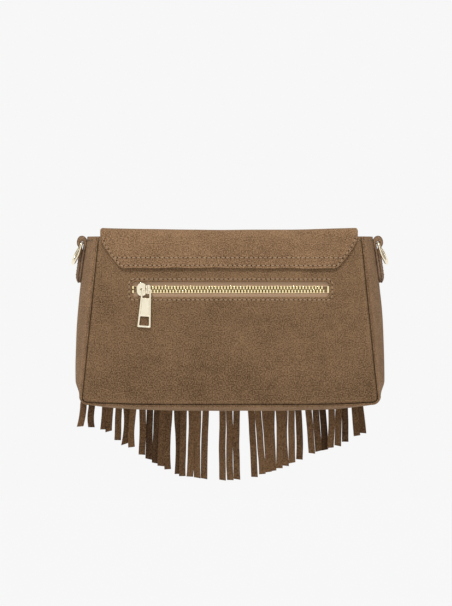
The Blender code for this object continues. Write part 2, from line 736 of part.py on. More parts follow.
for side, name in ((-1, "left"), (1, "right")):
    outline = [(side * x, z) for x, z in tab_outline()]
    bore = [(side * pivot_x + x, z) for x, z in arc(0, 0, RING_WIRE / 2 + GAP, 0, 337.5, 15)]
    upright_piece("ring_tab_" + name, [outline, bore], -TAB_WIDTH / 2, TAB_WIDTH / 2, suede, None)

    ring_frame = add_frame("ring_frame_" + name, (side * pivot_x, 0, 0), (0, -side * RING_LEAN, 0))
    ring_curve = bpy.data.curves.new("d_ring_" + name, "CURVE")
    ring_curve.dimensions = "3D"
    ring_curve.bevel_depth = RING_WIRE / 2
    ring_curve.bevel_resolution = 2
    wire = ring_curve.splines.new("POLY")
    points = ring_points()
    wire.points.add(len(points) - 1)
    for point, (y, z) in zip(wire.points, points):
        point.co = (0, y, z, 1)
    wire.use_cyclic_u = True
    add_object("d_ring_" + name, ring_curve, gold, ring_frame)
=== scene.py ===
import math

import bmesh
import bpy
from mathutils import Matrix, Vector, noise


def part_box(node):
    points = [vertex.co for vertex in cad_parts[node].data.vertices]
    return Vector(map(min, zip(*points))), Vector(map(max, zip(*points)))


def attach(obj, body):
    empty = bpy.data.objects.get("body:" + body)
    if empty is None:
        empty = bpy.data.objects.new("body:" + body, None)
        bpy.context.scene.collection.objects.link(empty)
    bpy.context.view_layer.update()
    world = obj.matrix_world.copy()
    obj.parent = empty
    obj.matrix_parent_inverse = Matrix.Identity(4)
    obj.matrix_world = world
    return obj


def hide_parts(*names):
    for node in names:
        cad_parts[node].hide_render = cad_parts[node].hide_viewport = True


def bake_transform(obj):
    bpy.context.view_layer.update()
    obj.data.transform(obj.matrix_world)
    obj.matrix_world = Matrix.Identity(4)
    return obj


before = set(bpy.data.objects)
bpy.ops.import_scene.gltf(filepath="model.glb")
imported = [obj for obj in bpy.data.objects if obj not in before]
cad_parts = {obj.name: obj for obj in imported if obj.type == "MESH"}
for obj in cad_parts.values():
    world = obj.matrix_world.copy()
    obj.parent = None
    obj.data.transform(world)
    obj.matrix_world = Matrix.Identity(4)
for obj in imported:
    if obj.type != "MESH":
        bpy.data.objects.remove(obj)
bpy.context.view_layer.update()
mm = 0.001
print("frame loaded:", len(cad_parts), "nodes")

# Sizes of the body, the same as its solids have
bag = {
    "rimZ": 5.5 * mm,
    "baseZ": -133.0 * mm,
    "rimHalfWidth": 109.0 * mm,      # seam of panel and gusset
    "baseHalfWidth": 123.0 * mm,
    "rimDepth": 50.0 * mm,
    "baseDepth": 60.0 * mm,
    "corner": 4.0 * mm,
    "suede": 1.6 * mm,
    "gap": 0.3 * mm,
    "bulge": (7.9 * mm, 9.6 * mm, 3.5 * mm),  # at the rim, the waist and the base
    "waistShare": 55.0 / 138.5,
    "sagFrom": -95 * mm,
    "baseSag": 1.3 * mm,
    "cornerRise": 0.9 * mm,
    "sagSpan": 121 * mm,
}


def share(z):
    return (bag["rimZ"] - z) / (bag["rimZ"] - bag["baseZ"])


def seamHalfWidth(z):
    return bag["rimHalfWidth"] + (bag["baseHalfWidth"] - bag["rimHalfWidth"]) * share(z)


def halfDepth(z):
    return (bag["rimDepth"] + (bag["baseDepth"] - bag["rimDepth"]) * share(z)) / 2


def gussetBulge(z):
    t, waist = share(z), bag["waistShare"]
    atRim, atWaist, atBase = bag["bulge"]
    return (atRim * (t - waist) * (t - 1) / waist
            + atWaist * t * (t - 1) / (waist * (waist - 1))
            + atBase * t * (t - waist) / (1 - waist))


def gussetOuter(z):
    return seamHalfWidth(z) + bag["gap"] + bag["suede"] + gussetBulge(z)


# The base sags between its corners
def settled(x, z):
    if z > bag["sagFrom"]:
        return z
    out = min(abs(x) / bag["sagSpan"], 1) ** 4
    return z + mix(-bag["baseSag"], bag["cornerRise"], out) * smooth(bag["sagFrom"], bag["baseZ"], z)


# Short sums that the shapes below share
def mix(a, b, t):
    return a + (b - a) * t


def smooth(low, high, value):
    t = min(max((value - low) / (high - low), 0.0), 1.0)
    return t * t * (3 - 2 * t)


def hump(value, width):
    return math.exp(-(value / width) ** 2)


def wander(x, z, size, seed=0.0):
    return noise.noise(Vector((x / size, z / size, seed)))


# How far a turned edge sinks at this distance from the edge
def turnedEdge(distance, radius):
    if distance >= radius:
        return 0.0
    return radius - math.sqrt(max(radius ** 2 - (radius - max(distance, 0.0)) ** 2, 0.0))


def spaced(low, high, step):
    count = max(1, round(abs(high - low) / step))
    return [low + (high - low) * i / count for i in range(count + 1)]


# Runs of numbers one after another, each shared end once
def joined(*runs):
    line = list(runs[0])
    for run in runs[1:]:
        line += run[1:]
    return line


def addObject(name, data):
    item = bpy.data.objects.new(name, data)
    bpy.context.scene.collection.objects.link(item)
    return item


# A closed mesh piece with its normals outward, smooth apart from sharp angles
def solidMesh(name, verts, faces, materials, slots=None, uvs=None, sharp=50.0):
    mesh = bpy.data.meshes.new(name)
    mesh.from_pydata([tuple(v) for v in verts], [], faces)
    for material in materials:
        mesh.materials.append(material)
    if slots:
        mesh.polygons.foreach_set("material_index", slots)
    if uvs:
        layer = mesh.uv_layers.new(name="UVMap")
        flat = []
        for loop in mesh.loops:
            flat += uvs[loop.vertex_index]
        layer.data.foreach_set("uv", flat)
    tidyMesh(mesh)
    shadeSmooth(mesh, sharp)
    return addObject(name, mesh)


def tidyMesh(mesh, weld=0.0):
    bm = bmesh.new()
    bm.from_mesh(mesh)
    if weld:
        bmesh.ops.remove_doubles(bm, verts=bm.verts, dist=weld)
    bmesh.ops.recalc_face_normals(bm, faces=bm.faces)
    bm.to_mesh(mesh)
    bm.free()


def shadeSmooth(mesh, sharp):
    mesh.polygons.foreach_set("use_smooth", [True] * len(mesh.polygons))
    mesh.set_sharp_from_angle(angle=math.radians(sharp))


# A sheet with two faces and a cut edge all round, from two grids of points.
# cellKind(row, column) may drop a cell, or give the corners to keep of a cell that is cut across.
# A sack joins its last column to its first and closes its last row. The rows of tone and shading give where
# the nap is rubbed lighter and where shade and highlights are painted.
def shell(name, outer, inner, materials, cellKind=None, uvRows=None, sack=False, rubRows=None):
    rows, columns = len(outer), len(outer[0])
    count = rows * columns
    verts = [p for row in outer for p in row] + [p for row in inner for p in row]
    faces, slots, sides = [], [], {}
    for r in range(rows - 1):
        for c in range(columns if sack else columns - 1):
            d = (c + 1) % columns
            corners = [(r, c), (r, d), (r + 1, d), (r + 1, c)]
            if cellKind:
                kept = cellKind(r, c)
                if kept is False:
                    continue
                if kept:
                    corners = [corners[i] for i in kept]
            ring = [a * columns + b for a, b in corners]
            faces += [ring, [i + count for i in reversed(ring)]]
            slots += [0, 0]
            for a, b in zip(ring, ring[1:] + ring[:1]):
                if (b, a) in sides:
                    del sides[(b, a)]
                else:
                    sides[(a, b)] = True
    if sack:
        last = [(rows - 1) * columns + c for c in range(columns)]
        faces += [last, [i + count for i in last]]
        slots += [0, 0]
        sides = {side: True for side in sides if min(side) < last[0]}
    for a, b in sides:
        faces.append([b, a, a + count, b + count])
        slots.append(len(materials) - 1)
    uvs = None
    if uvRows:
        flatUv = [uv for row in uvRows for uv in row]
        uvs = flatUv + flatUv
    item = solidMesh(name, verts, faces, materials, slots, uvs)
    if rubRows:
        rubs = [value for row in rubRows for value in row]
        item.data.attributes.new("rub", "FLOAT", "POINT").data.foreach_set("value", rubs + rubs)
    loose = bmesh.new()
    loose.from_mesh(item.data)
    bmesh.ops.delete(loose, geom=[v for v in loose.verts if not v.link_faces], context="VERTS")
    loose.to_mesh(item.data)
    loose.free()
    return item


def addSpline(curve, path, closed):
    spline = curve.splines.new("POLY")
    spline.points.add(len(path) - 1)
    for point, place in zip(spline.points, path):
        point.co = (*place, 1)
    spline.use_cyclic_u = closed


def tube(name, path, radius, material, closed=True, sides=16):
    curve = bpy.data.curves.new(name, "CURVE")
    curve.dimensions = "3D"
    curve.bevel_depth = radius
    curve.bevel_resolution = sides // 4
    curve.use_fill_caps = not closed
    addSpline(curve, path, closed)
    return curvePiece(name, curve, material, Matrix.Identity(4))


# Outlines in x and z with holes, filled from y near to far, with rounded edges
def plate(name, outlines, near, far, edge, material, place=Matrix.Identity(4)):
    curve = bpy.data.curves.new(name, "CURVE")
    curve.dimensions = "2D"
    curve.fill_mode = "BOTH"
    curve.extrude = (far - near) / 2 - edge
    curve.bevel_depth = edge
    curve.bevel_resolution = 3
    curve.offset = -edge
    for points in outlines:
        addSpline(curve, [(x, z, 0) for x, z in points], True)
    turned = Matrix.Translation((0, (near + far) / 2, 0)) @ Matrix.Rotation(math.pi / 2, 4, "X")
    return curvePiece(name, curve, material, place @ turned)


# The plain mesh of an object with its modifiers or its curve; the object goes
def evaluated(source):
    bpy.context.view_layer.update()
    seen = source.evaluated_get(bpy.context.evaluated_depsgraph_get())
    mesh = bpy.data.meshes.new_from_object(seen)
    bpy.data.objects.remove(source, do_unlink=True)
    return mesh


# A curve turned into a welded mesh that is already in its place
def curvePiece(name, curve, material, place):
    mesh = evaluated(addObject(name + "Line", curve))
    bpy.data.curves.remove(curve)
    mesh.transform(place)
    tidyMesh(mesh, 0.002 * mm)
    mesh.materials.clear()
    mesh.materials.append(material)
    shadeSmooth(mesh, 40)
    mesh.name = name
    return addObject(name, mesh)


def merged(name, items):
    bm = bmesh.new()
    materials = []
    for item in items:
        start = len(bm.faces)
        bm.from_mesh(item.data)
        bm.faces.ensure_lookup_table()
        for face in bm.faces[start:]:
            material = item.data.materials[face.material_index]
            if material not in materials:
                materials.append(material)
            face.material_index = materials.index(material)
    mesh = bpy.data.meshes.new(name)
    bm.to_mesh(mesh)
    bm.free()
    for material in materials:
        mesh.materials.append(material)
    for item in items:
        bpy.data.objects.remove(item, do_unlink=True)
    return addObject(name, mesh)


def arc(centreX, centreZ, radius, start, end, steps):
    angles = [math.radians(mix(start, end, i / steps)) for i in range(steps + 1)]
    return [(centreX + radius * math.cos(a), centreZ + radius * math.sin(a)) for a in angles]


# A node with its settings, and its inputs by name or place: a value or another node's output
def node(tree, kind, **values):
    made = tree.nodes.new(kind)
    for key, value in values.items():
        if hasattr(made, key) and key not in made.inputs:
            setattr(made, key, value)
            continue
        socket = made.inputs[int(key[2:])] if key.startswith("in") else made.inputs[key.replace("_", " ")]
        if isinstance(value, bpy.types.NodeSocket):
            tree.links.new(value, socket)
        else:
            socket.default_value = value
    return made


def group(name, inputs, outputs):
    tree = bpy.data.node_groups.new(name, "ShaderNodeTree")
    for label, kind, value in inputs:
        socket = tree.interface.new_socket(label, in_out="INPUT", socket_type=kind)
        if value is not None:
            socket.default_value = value
    for label, kind in outputs:
        tree.interface.new_socket(label, in_out="OUTPUT", socket_type=kind)
    return tree, tree.nodes.new("NodeGroupInput"), tree.nodes.new("NodeGroupOutput")


def maths(tree, operation, first, second):
    return node(tree, "ShaderNodeMath", operation=operation, in0=first, in1=second).outputs[0]


def plus(tree, first, second):
    return maths(tree, "ADD", first, second)


def minus(tree, first, second):
    return maths(tree, "SUBTRACT", first, second)


def times(tree, first, second):
    return maths(tree, "MULTIPLY", first, second)


def clampedSum(tree, first, second):
    return node(tree, "ShaderNodeMath", operation="ADD", use_clamp=True, in0=first, in1=second).outputs[0]


def tinted(tree, colour, factor):
    return node(tree, "ShaderNodeMix", data_type="RGBA", blend_type="MULTIPLY", in0=1.0, in6=colour,
                in7=(*factor, 1)).outputs[2]


def between(tree, amount, first, second):
    return node(tree, "ShaderNodeMix", data_type="RGBA", in0=amount, in6=first, in7=second).outputs[2]


# Noise about zero, times a weight
def speckle(tree, vector, scale, detail, weight):
    field = node(tree, "ShaderNodeTexNoise", Vector=vector, Scale=scale, Detail=detail, Roughness=0.6)
    centred = minus(tree, field.outputs["Fac"], 0.5)
    return times(tree, centred, weight)


# Shared effects, as groups that give colours, heights and roughness
def makeNapGroup():
    tree, given, result = group(
        "napEffect",
        [("Vector", "NodeSocketVector", None), ("Colour", "NodeSocketColor", (0.2, 0.1, 0.05, 1)),
         ("Mottle", "NodeSocketFloat", 1.0), ("Patches", "NodeSocketFloat", 1.0),
         ("Rub", "NodeSocketFloat", 0.0)],
        [("Colour", "NodeSocketColor"), ("Roughness", "NodeSocketFloat"), ("Height", "NodeSocketFloat")])
    vector = given.outputs["Vector"]
    brushed = node(tree, "ShaderNodeMapping", Vector=vector, Scale=(1.0, 1.0, 0.55)).outputs[0]
    fine = speckle(tree, vector, 2500.0, 2.0, 1.6)
    grain = speckle(tree, vector, 1000.0, 2.0, 2.3)
    patch = speckle(tree, brushed, 150.0, 3.0, 0.5)
    broad = speckle(tree, brushed, 24.0, 2.0, 0.55)
    near = times(tree, plus(tree, fine, grain), given.outputs["Mottle"])
    far = times(tree, plus(tree, patch, broad), given.outputs["Patches"])
    # The tone and shading input lightens and darkens the nap: rubbed nap, and painted shade and highlights
    rubbed = plus(tree, 0.5, times(tree, given.outputs["Rub"], 0.22))
    shade = clampedSum(tree, rubbed, plus(tree, near, far))
    darker = tinted(tree, given.outputs["Colour"], (0.36, 0.32, 0.29))
    lighter = tinted(tree, given.outputs["Colour"], (1.62, 1.66, 1.70))
    colour = between(tree, shade, darker, lighter)
    rough = minus(tree, 0.96, times(tree, shade, 0.1))
    height = plus(tree, fine, times(tree, grain, 1.6))
    tree.links.new(colour, result.inputs["Colour"])
    tree.links.new(rough, result.inputs["Roughness"])
    tree.links.new(height, result.inputs["Height"])
    return tree


def makeWeaveGroup():
    tree, given, result = group(
        "weaveEffect",
        [("Vector", "NodeSocketVector", None), ("Colour", "NodeSocketColor", (0.3, 0.2, 0.1, 1)),
         ("Across", "NodeSocketFloat", 1600.0), ("Along", "NodeSocketFloat", 1600.0)],
        [("Colour", "NodeSocketColor"), ("Height", "NodeSocketFloat")])
    split = node(tree, "ShaderNodeSeparateXYZ", Vector=given.outputs["Vector"])
    across = times(tree, split.outputs[0], given.outputs["Across"])
    along = times(tree, plus(tree, split.outputs[1], split.outputs[2]), given.outputs["Along"])
    warp = maths(tree, "SINE", across, 0.0)
    weft = maths(tree, "SINE", along, 0.0)
    cross = times(tree, warp, weft)
    fuzz = speckle(tree, given.outputs["Vector"], 900.0, 3.0, 0.8)
    height = plus(tree, times(tree, cross, 0.5), fuzz)
    shade = clampedSum(tree, 0.5, times(tree, height, 0.55))
    darker = tinted(tree, given.outputs["Colour"], (0.62, 0.58, 0.54))
    lighter = tinted(tree, given.outputs["Colour"], (1.3, 1.32, 1.34))
    colour = between(tree, shade, darker, lighter)
    tree.links.new(colour, result.inputs["Colour"])
    tree.links.new(height, result.inputs["Height"])
    return tree


def makeWearGroup():
    tree, given, result = group(
        "wearEffect",
        [("Vector", "NodeSocketVector", None), ("Colour", "NodeSocketColor", (0.9, 0.8, 0.6, 1)),
         ("Polish", "NodeSocketFloat", 0.18)],
        [("Colour", "NodeSocketColor"), ("Roughness", "NodeSocketFloat"), ("Height", "NodeSocketFloat")])
    cloud = speckle(tree, given.outputs["Vector"], 160.0, 3.0, 1.0)
    streaked = node(tree, "ShaderNodeMapping", Vector=given.outputs["Vector"], Scale=(1.0, 1.0, 0.12))
    scratch = speckle(tree, streaked.outputs[0], 2600.0, 2.0, 1.0)
    shade = clampedSum(tree, 0.75, cloud)
    dull = tinted(tree, given.outputs["Colour"], (0.86, 0.82, 0.74))
    colour = between(tree, shade, dull, given.outputs["Colour"])
    marks = plus(tree, times(tree, cloud, 0.12), times(tree, scratch, 0.1))
    rough = plus(tree, given.outputs["Polish"], marks)
    tree.links.new(colour, result.inputs["Colour"])
    tree.links.new(rough, result.inputs["Roughness"])
    tree.links.new(scratch, result.inputs["Height"])
    return tree


napEffect, weaveEffect, wearEffect = makeNapGroup(), makeWeaveGroup(), makeWearGroup()


def newMaterial(name):
    material = bpy.data.materials.new(name)
    material.use_nodes = True
    return material, material.node_tree, material.node_tree.nodes["Principled BSDF"]


# An effect's group in a material, read at this kind of coordinates, with its own values
def placed(tree, effect, place, **values):
    vector = node(tree, "ShaderNodeTexCoord").outputs[place]
    return node(tree, "ShaderNodeGroup", node_tree=effect, Vector=vector, **values).outputs


def raised(tree, shader, height, distance, strength):
    bump = node(tree, "ShaderNodeBump", Height=height, Distance=distance, Strength=strength)
    tree.links.new(bump.outputs["Normal"], shader.inputs["Normal"])


def setInputs(shader, **values):
    for key, value in values.items():
        shader.inputs[key.replace("_", " ")].default_value = value


def suedeMaterial(name, colour, mottle=1.0, patches=1.0, place="UV", sheen=0.12):
    material, tree, shader = newMaterial(name)
    # Each piece's rubbed nap and its painted shade and highlights come in as a point attribute
    rub = node(tree, "ShaderNodeAttribute", attribute_name="rub").outputs["Fac"]
    nap = placed(tree, napEffect, place, Colour=(*colour, 1), Mottle=mottle, Patches=patches, Rub=rub)
    tree.links.new(nap["Colour"], shader.inputs["Base Color"])
    tree.links.new(nap["Roughness"], shader.inputs["Roughness"])
    raised(tree, shader, nap["Height"], 0.25 * mm, 0.7)
    setInputs(shader, Specular_IOR_Level=0.15, Sheen_Weight=sheen, Sheen_Roughness=0.45,
              Sheen_Tint=(0.9, 0.68, 0.48, 1))
    return material


def clothMaterial(name, colour, across, along, place="UV"):
    material, tree, shader = newMaterial(name)
    weave = placed(tree, weaveEffect, place, Colour=(*colour, 1), Across=across, Along=along)
    tree.links.new(weave["Colour"], shader.inputs["Base Color"])
    raised(tree, shader, weave["Height"], 0.12 * mm, 0.8)
    setInputs(shader, Roughness=0.85, Specular_IOR_Level=0.2, Sheen_Weight=0.1, Sheen_Tint=(0.8, 0.6, 0.4, 1))
    return material


def goldMaterial(name, colour, polish):
    material, tree, shader = newMaterial(name)
    wear = placed(tree, wearEffect, "Object", Colour=(*colour, 1), Polish=polish)
    tree.links.new(wear["Colour"], shader.inputs["Base Color"])
    tree.links.new(wear["Roughness"], shader.inputs["Roughness"])
    raised(tree, shader, wear["Height"], 0.02 * mm, 0.4)
    setInputs(shader, Metallic=1.0)
    return material


suedePanel = suedeMaterial("suedePanel", (0.183, 0.108, 0.055), 1.25)
suedeFlap = suedeMaterial("suedeFlap", (0.238, 0.140, 0.073), 1.3)
suedeGusset = suedeMaterial("suedeGusset", (0.218, 0.128, 0.067), 1.2)
suedeTab = suedeMaterial("suedeTab", (0.185, 0.116, 0.075), 0.8, 0.6, "Object")
suedeFringe = suedeMaterial("suedeFringe", (0.170, 0.095, 0.046), 0.8, 0.4, "Object", 0.05)
# A darker copy of the fringe's suede: painted shade on the strips that hang behind
suedeFringeShaded = suedeMaterial("suedeFringeShaded", (0.120, 0.067, 0.033), 0.8, 0.4, "Object", 0.05)
cutEdge = suedeMaterial("cutEdge", (0.270, 0.172, 0.100), 0.8, 0.4, "Object")
threadTan = clothMaterial("threadTan", (0.390, 0.265, 0.165), 2600.0, 2600.0, "Object")
# Near-black dots between the stitches: painted shade in the needle holes
needleHoleShade = suedeMaterial("needleHoleShade", (0.030, 0.016, 0.009), 0.6, 0.3, "Object", 0.0)
liningCloth = clothMaterial("liningCloth", (0.330, 0.230, 0.150), 7000.0, 7000.0)
tapeCloth = clothMaterial("tapeCloth", (0.430, 0.290, 0.185), 6200.0, 3400.0, "Object")
# The pocket's own cloth, darker than the main lining, also as painted shade in the gaps between the zip's
# teeth
pocketCloth = clothMaterial("pocketCloth", (0.270, 0.185, 0.105), 7000.0, 7000.0)
paleGold = goldMaterial("paleGold", (0.98, 0.90, 0.71), 0.16)
toothGold = goldMaterial("toothGold", (1.0, 0.86, 0.50), 0.2)
print("materials made:", len(bpy.data.materials))


# Panels: fine grids with turned edges, and the zip's slot cut through the back one
slot = {
    "left": -81.5 * mm,
    "right": 82.5 * mm,
    "middleZ": -38.57 * mm,
    "halfHeight": 6.3 * mm,
    "chamfer": 2.4 * mm,
    "ease": [0, 0.35 * mm, 0.8 * mm, 1.4 * mm, 2.1 * mm, 2.9 * mm],
    "stitchOut": 2.3 * mm,
}
panel = {
    "yokeZ": -20.8 * mm,             # the flap's sewn end lies on the back panel above this
    "turn": 1.6 * mm,
    "slotTurn": 1.15 * mm,
    "edgeSteps": [v * mm for v in (0, 0.15, 0.35, 0.6, 0.9, 1.3, 1.8, 2.4, 3.0)],
    "straightTo": 94 * mm,           # columns run straight down inside this, and fan out beyond
    "swell": 0.9 * mm,               # how far the low middle and the soft waves stand out
    "wave": 0.55 * mm,
    "ridge": 0.25 * mm,              # of the turned edge beside the seam
    "slotRise": 0.4 * mm,
    "stitchDip": 0.22 * mm,
}
cornerZ = bag["baseZ"] + bag["corner"]
cornerX = seamHalfWidth(cornerZ) - bag["corner"]


def panelHalfWidth(z):
    if z >= cornerZ:
        return seamHalfWidth(z)
    drop = min(cornerZ - z, bag["corner"])
    return cornerX + math.sqrt(bag["corner"] ** 2 - drop ** 2)


def edgeDistance(x, z):
    if z < cornerZ and abs(x) > cornerX:
        return bag["corner"] - math.hypot(abs(x) - cornerX, cornerZ - z)
    return min(panelHalfWidth(z) - abs(x), z - bag["baseZ"])


def slotDistance(x, z):
    halfLength = (slot["right"] - slot["left"]) / 2
    dx = abs(x - (slot["left"] + slot["right"]) / 2) - halfLength
    dz = abs(z - slot["middleZ"]) - slot["halfHeight"]
    return max(dx, dz, (dx + dz + slot["chamfer"]) / math.sqrt(2))


# How far the soft panel stands out from its plane
def panelFlow(x, z, side):
    inward = smooth(0, 22 * mm, edgeDistance(x, z)) * smooth(bag["rimZ"], -24 * mm, z)
    wave = wander(x, z * 1.4, 46 * mm, 3.1 + side) * panel["wave"]
    low = hump(z + 92 * mm, 38 * mm) * (1 - (x / (125 * mm)) ** 2) * panel["swell"]
    if side < 0:
        inward *= smooth(1 * mm, 9 * mm, slotDistance(x, z))
    return (wave + low) * inward


def panelLift(x, z, side):
    edge = edgeDistance(x, z)
    atRim = smooth(bag["rimZ"], bag["rimZ"] - 5 * mm, z)
    lift = panelFlow(x, z, side) + panel["ridge"] * hump(edge - 2.1 * mm, 1.0 * mm) * atRim
    lift -= turnedEdge(edge, panel["turn"]) * (0.15 + 0.85 * atRim)
    lift -= turnedEdge(bag["rimZ"] - z, 0.5 * mm)
    if side < 0:
        fromSlot = slotDistance(x, z)
        lift += panel["slotRise"] * (1 - smooth(2.8 * mm, 4.6 * mm, fromSlot))
        lift -= turnedEdge(fromSlot, panel["slotTurn"])
        lift -= panel["stitchDip"] * hump(fromSlot - slot["stitchOut"], 0.55 * mm)
    return lift


def panelPoint(x, z, side, proud=0.0):
    return Vector((x, side * (halfDepth(z) + panelLift(x, z, side) + proud), settled(x, z)))


# Rubbed nap and painted light on the panels: lighter on the ridges beside the seams (rubbed nap and painted
# highlight) and on the raised frame round the slot (painted highlight). Painted shade lies in the seams,
# toward the bottom and the sides, and under the flap's sewn edge, and painted light toward the top
def panelToneAndShading(x, z, side):
    edge = edgeDistance(x, z)
    rub = 0.5 * hump(edge - 2.3 * mm, 1.3 * mm) - 0.7 * hump(edge, 0.7 * mm)
    # painted light toward the top, painted shade toward the bottom and at the sides
    rub += 0.4 * smooth(-62 * mm, -6 * mm, z)
    rub -= 0.6 * smooth(-80 * mm, -122 * mm, z) + 0.25 * smooth(95 * mm, 118 * mm, abs(x))
    if side < 0:
        # painted highlight on the raised frame round the slot
        rub += 0.55 * (1 - smooth(2.8 * mm, 4.8 * mm, slotDistance(x, z)))
        # painted shadow under the flap's sewn edge
        rub -= 0.5 * hump(z - panel["yokeZ"] + 1.5 * mm, 1.6 * mm) * (abs(x) < 90 * mm)
    return rub


def panelColumns(z, central):
    half = panelHalfWidth(z)
    inner = half - panel["edgeSteps"][-1]
    straight = min(panel["straightTo"], inner)
    fan = [straight + (inner - straight) * i / 11 for i in range(1, 12)]
    right = fan + [half - step for step in reversed(panel["edgeSteps"][:-1])]
    middle = [x * straight / panel["straightTo"] for x in central]
    return [-x for x in reversed(right)] + middle + right


def panelGrid(side, step):
    edge = panel["straightTo"]
    ease, cut = slot["ease"], slot["chamfer"]
    low, high = bag["baseZ"], bag["rimZ"]
    rimRows = [high - v * mm for v in (0, 0.15, 0.35, 0.7, 1.2, 2.0, 3.0)]
    footRows = [low + v for v in reversed(panel["edgeSteps"])]
    if side > 0:
        central = spaced(-edge, edge, step)
        rows = joined(rimRows, spaced(rimRows[-1], footRows[0], step), footRows)
        return central, rows
    left, right = slot["left"], slot["right"]
    central = joined(spaced(-edge, left - ease[-1], step), [left - e for e in reversed(ease)],
                     spaced(left, left + cut, cut / 3), spaced(left + cut, right - cut, step),
                     spaced(right - cut, right, cut / 3), [right + e for e in ease],
                     spaced(right + ease[-1], edge, step))
    top, bottom = slot["middleZ"] + slot["halfHeight"], slot["middleZ"] - slot["halfHeight"]
    rows = joined(rimRows, spaced(rimRows[-1], top + ease[-1], step), [top + e for e in reversed(ease)],
                  spaced(top, top - cut, cut / 3), spaced(top - cut, bottom + cut, step),
                  spaced(bottom + cut, bottom, cut / 3), [bottom - e for e in ease],
                  spaced(bottom - ease[-1], footRows[0], step), footRows)
    return central, rows


def makePanel(name, side, step):
    central, levels = panelGrid(side, step)
    places = [[(x, z) for x in panelColumns(z, central)] for z in levels]
    outer = [[panelPoint(x, z, side) for x, z in row] for row in places]
    inner = [[Vector((x, side * (halfDepth(z) + panelFlow(x, z, side) - bag["suede"]), settled(x, z)))
              for x, z in row] for row in places]
    rubs = [[panelToneAndShading(x, z, side) for x, z in row] for row in places]

    def cellKind(r, c):
        corners = [places[r][c], places[r][c + 1], places[r + 1][c + 1], places[r + 1][c]]
        middle = (sum(p[0] for p in corners) / 4, sum(p[1] for p in corners) / 4)
        distance = slotDistance(*middle)
        if distance < -0.05 * mm:
            return False
        if distance < 0.05 * mm:
            return [i for i, p in enumerate(corners) if slotDistance(*p) > -0.05 * mm]
        return None

    return shell(name, outer, inner, [suedePanel, cutEdge], cellKind if side < 0 else None, places,
                 rubRows=rubs)


backPanel = makePanel("backPanelSuede", -1, 1.35 * mm)
frontPanel = makePanel("frontPanelSuede", 1, 1.9 * mm)
for piece, solid in ((backPanel, "back_panel"), (frontPanel, "front_panel")):
    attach(piece, "bag")
    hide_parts(solid)
print("panels made")


# Gusset: one strip down the sides and along the bottom, standing out between its seams
gusset = {
    "turn": 1.6 * mm,
    "cornerBulge": 0.2 * mm,
    "baseBulge": 3.5 * mm,
    "edgeSteps": [v * mm for v in (0, 0.15, 0.35, 0.6, 0.9, 1.4, 2.0, 2.8)],
    "acrossSteps": 26,
    "wave": 0.4 * mm,
    "ridge": 0.2 * mm,
    "tabFoot": -40 * mm,             # the strip is flat under the tabs: above this,
    "tabReach": 10 * mm,             # and this far to both sides of its middle
}


# Points of the seam from the left rim round the bottom to the right rim, with their normals
def gussetStations():
    rimRows = [bag["rimZ"] - v * mm for v in (0, 0.2, 0.5, 1.0, 1.8)]
    left = [(-seamHalfWidth(z), z, -1.0, 0.0)
            for z in joined(rimRows, spaced(rimRows[-1], cornerZ, 1.7 * mm))]
    for i in range(1, 13):
        angle = math.radians(180 + 7.5 * i)
        nx, nz = math.cos(angle), math.sin(angle)
        left.append((-cornerX + bag["corner"] * nx, cornerZ + bag["corner"] * nz, nx, nz))
    base = [(x, bag["baseZ"], 0.0, -1.0) for x in spaced(-cornerX, cornerX, 1.9 * mm)[1:-1]]
    return left + base + [(-x, z, -nx, nz) for x, z, nx, nz in reversed(left)]


# How far the strip stands out: along the sides and the base, and least at the corners
def gussetSwell(x, z):
    if z > cornerZ:
        return mix(gusset["cornerBulge"], gussetBulge(z), 0.25 + 0.75 * smooth(cornerZ, -115 * mm, z))
    side = mix(gusset["cornerBulge"], gussetBulge(cornerZ), 0.25)
    t = smooth(cornerZ, bag["baseZ"], z) if z > bag["baseZ"] else 1.0
    base = mix(gusset["cornerBulge"], gusset["baseBulge"], max(1 - (x / cornerX) ** 4, 0))
    return mix(side, base, t)


# Heights of the strip's inner face over the seam and of its outer face over the inner one; t runs across
def gussetLift(x, z, t, along):
    depth = 2 * halfDepth(max(z, bag["baseZ"]))
    fromSeam = min(t, 1 - t) * depth
    soft = smooth(2 * mm, 14 * mm, fromSeam) * smooth(bag["rimZ"], -6 * mm, z)
    foot, reach = gusset["tabFoot"], gusset["tabReach"]
    soft *= max(smooth(foot + 6 * mm, foot - 6 * mm, z),
                smooth(reach - 2 * mm, reach + 2 * mm, abs(t - 0.5) * depth))
    wave = wander(along, t * depth, 30 * mm, 8.4) * gusset["wave"] * soft
    atRim = smooth(bag["rimZ"], bag["rimZ"] - 5 * mm, z)
    ridge = gusset["ridge"] * hump(fromSeam - 2.2 * mm, 1.1 * mm) * atRim
    bulge = gussetSwell(x, z) * (1 - abs(2 * t - 1) ** 2.2)
    turn = turnedEdge(fromSeam, gusset["turn"]) * (0.1 + 0.85 * atRim)
    return bag["gap"] + bulge + wave, bag["suede"] + ridge - turn


def gussetPoint(station, t, along, proud=0.0):
    x, z, nx, nz = station
    under, over = gussetLift(x, z, t, along)
    lift = under + over + proud
    return Vector((x + nx * lift, halfDepth(max(z, bag["baseZ"])) * (2 * t - 1), settled(x, z) + nz * lift))


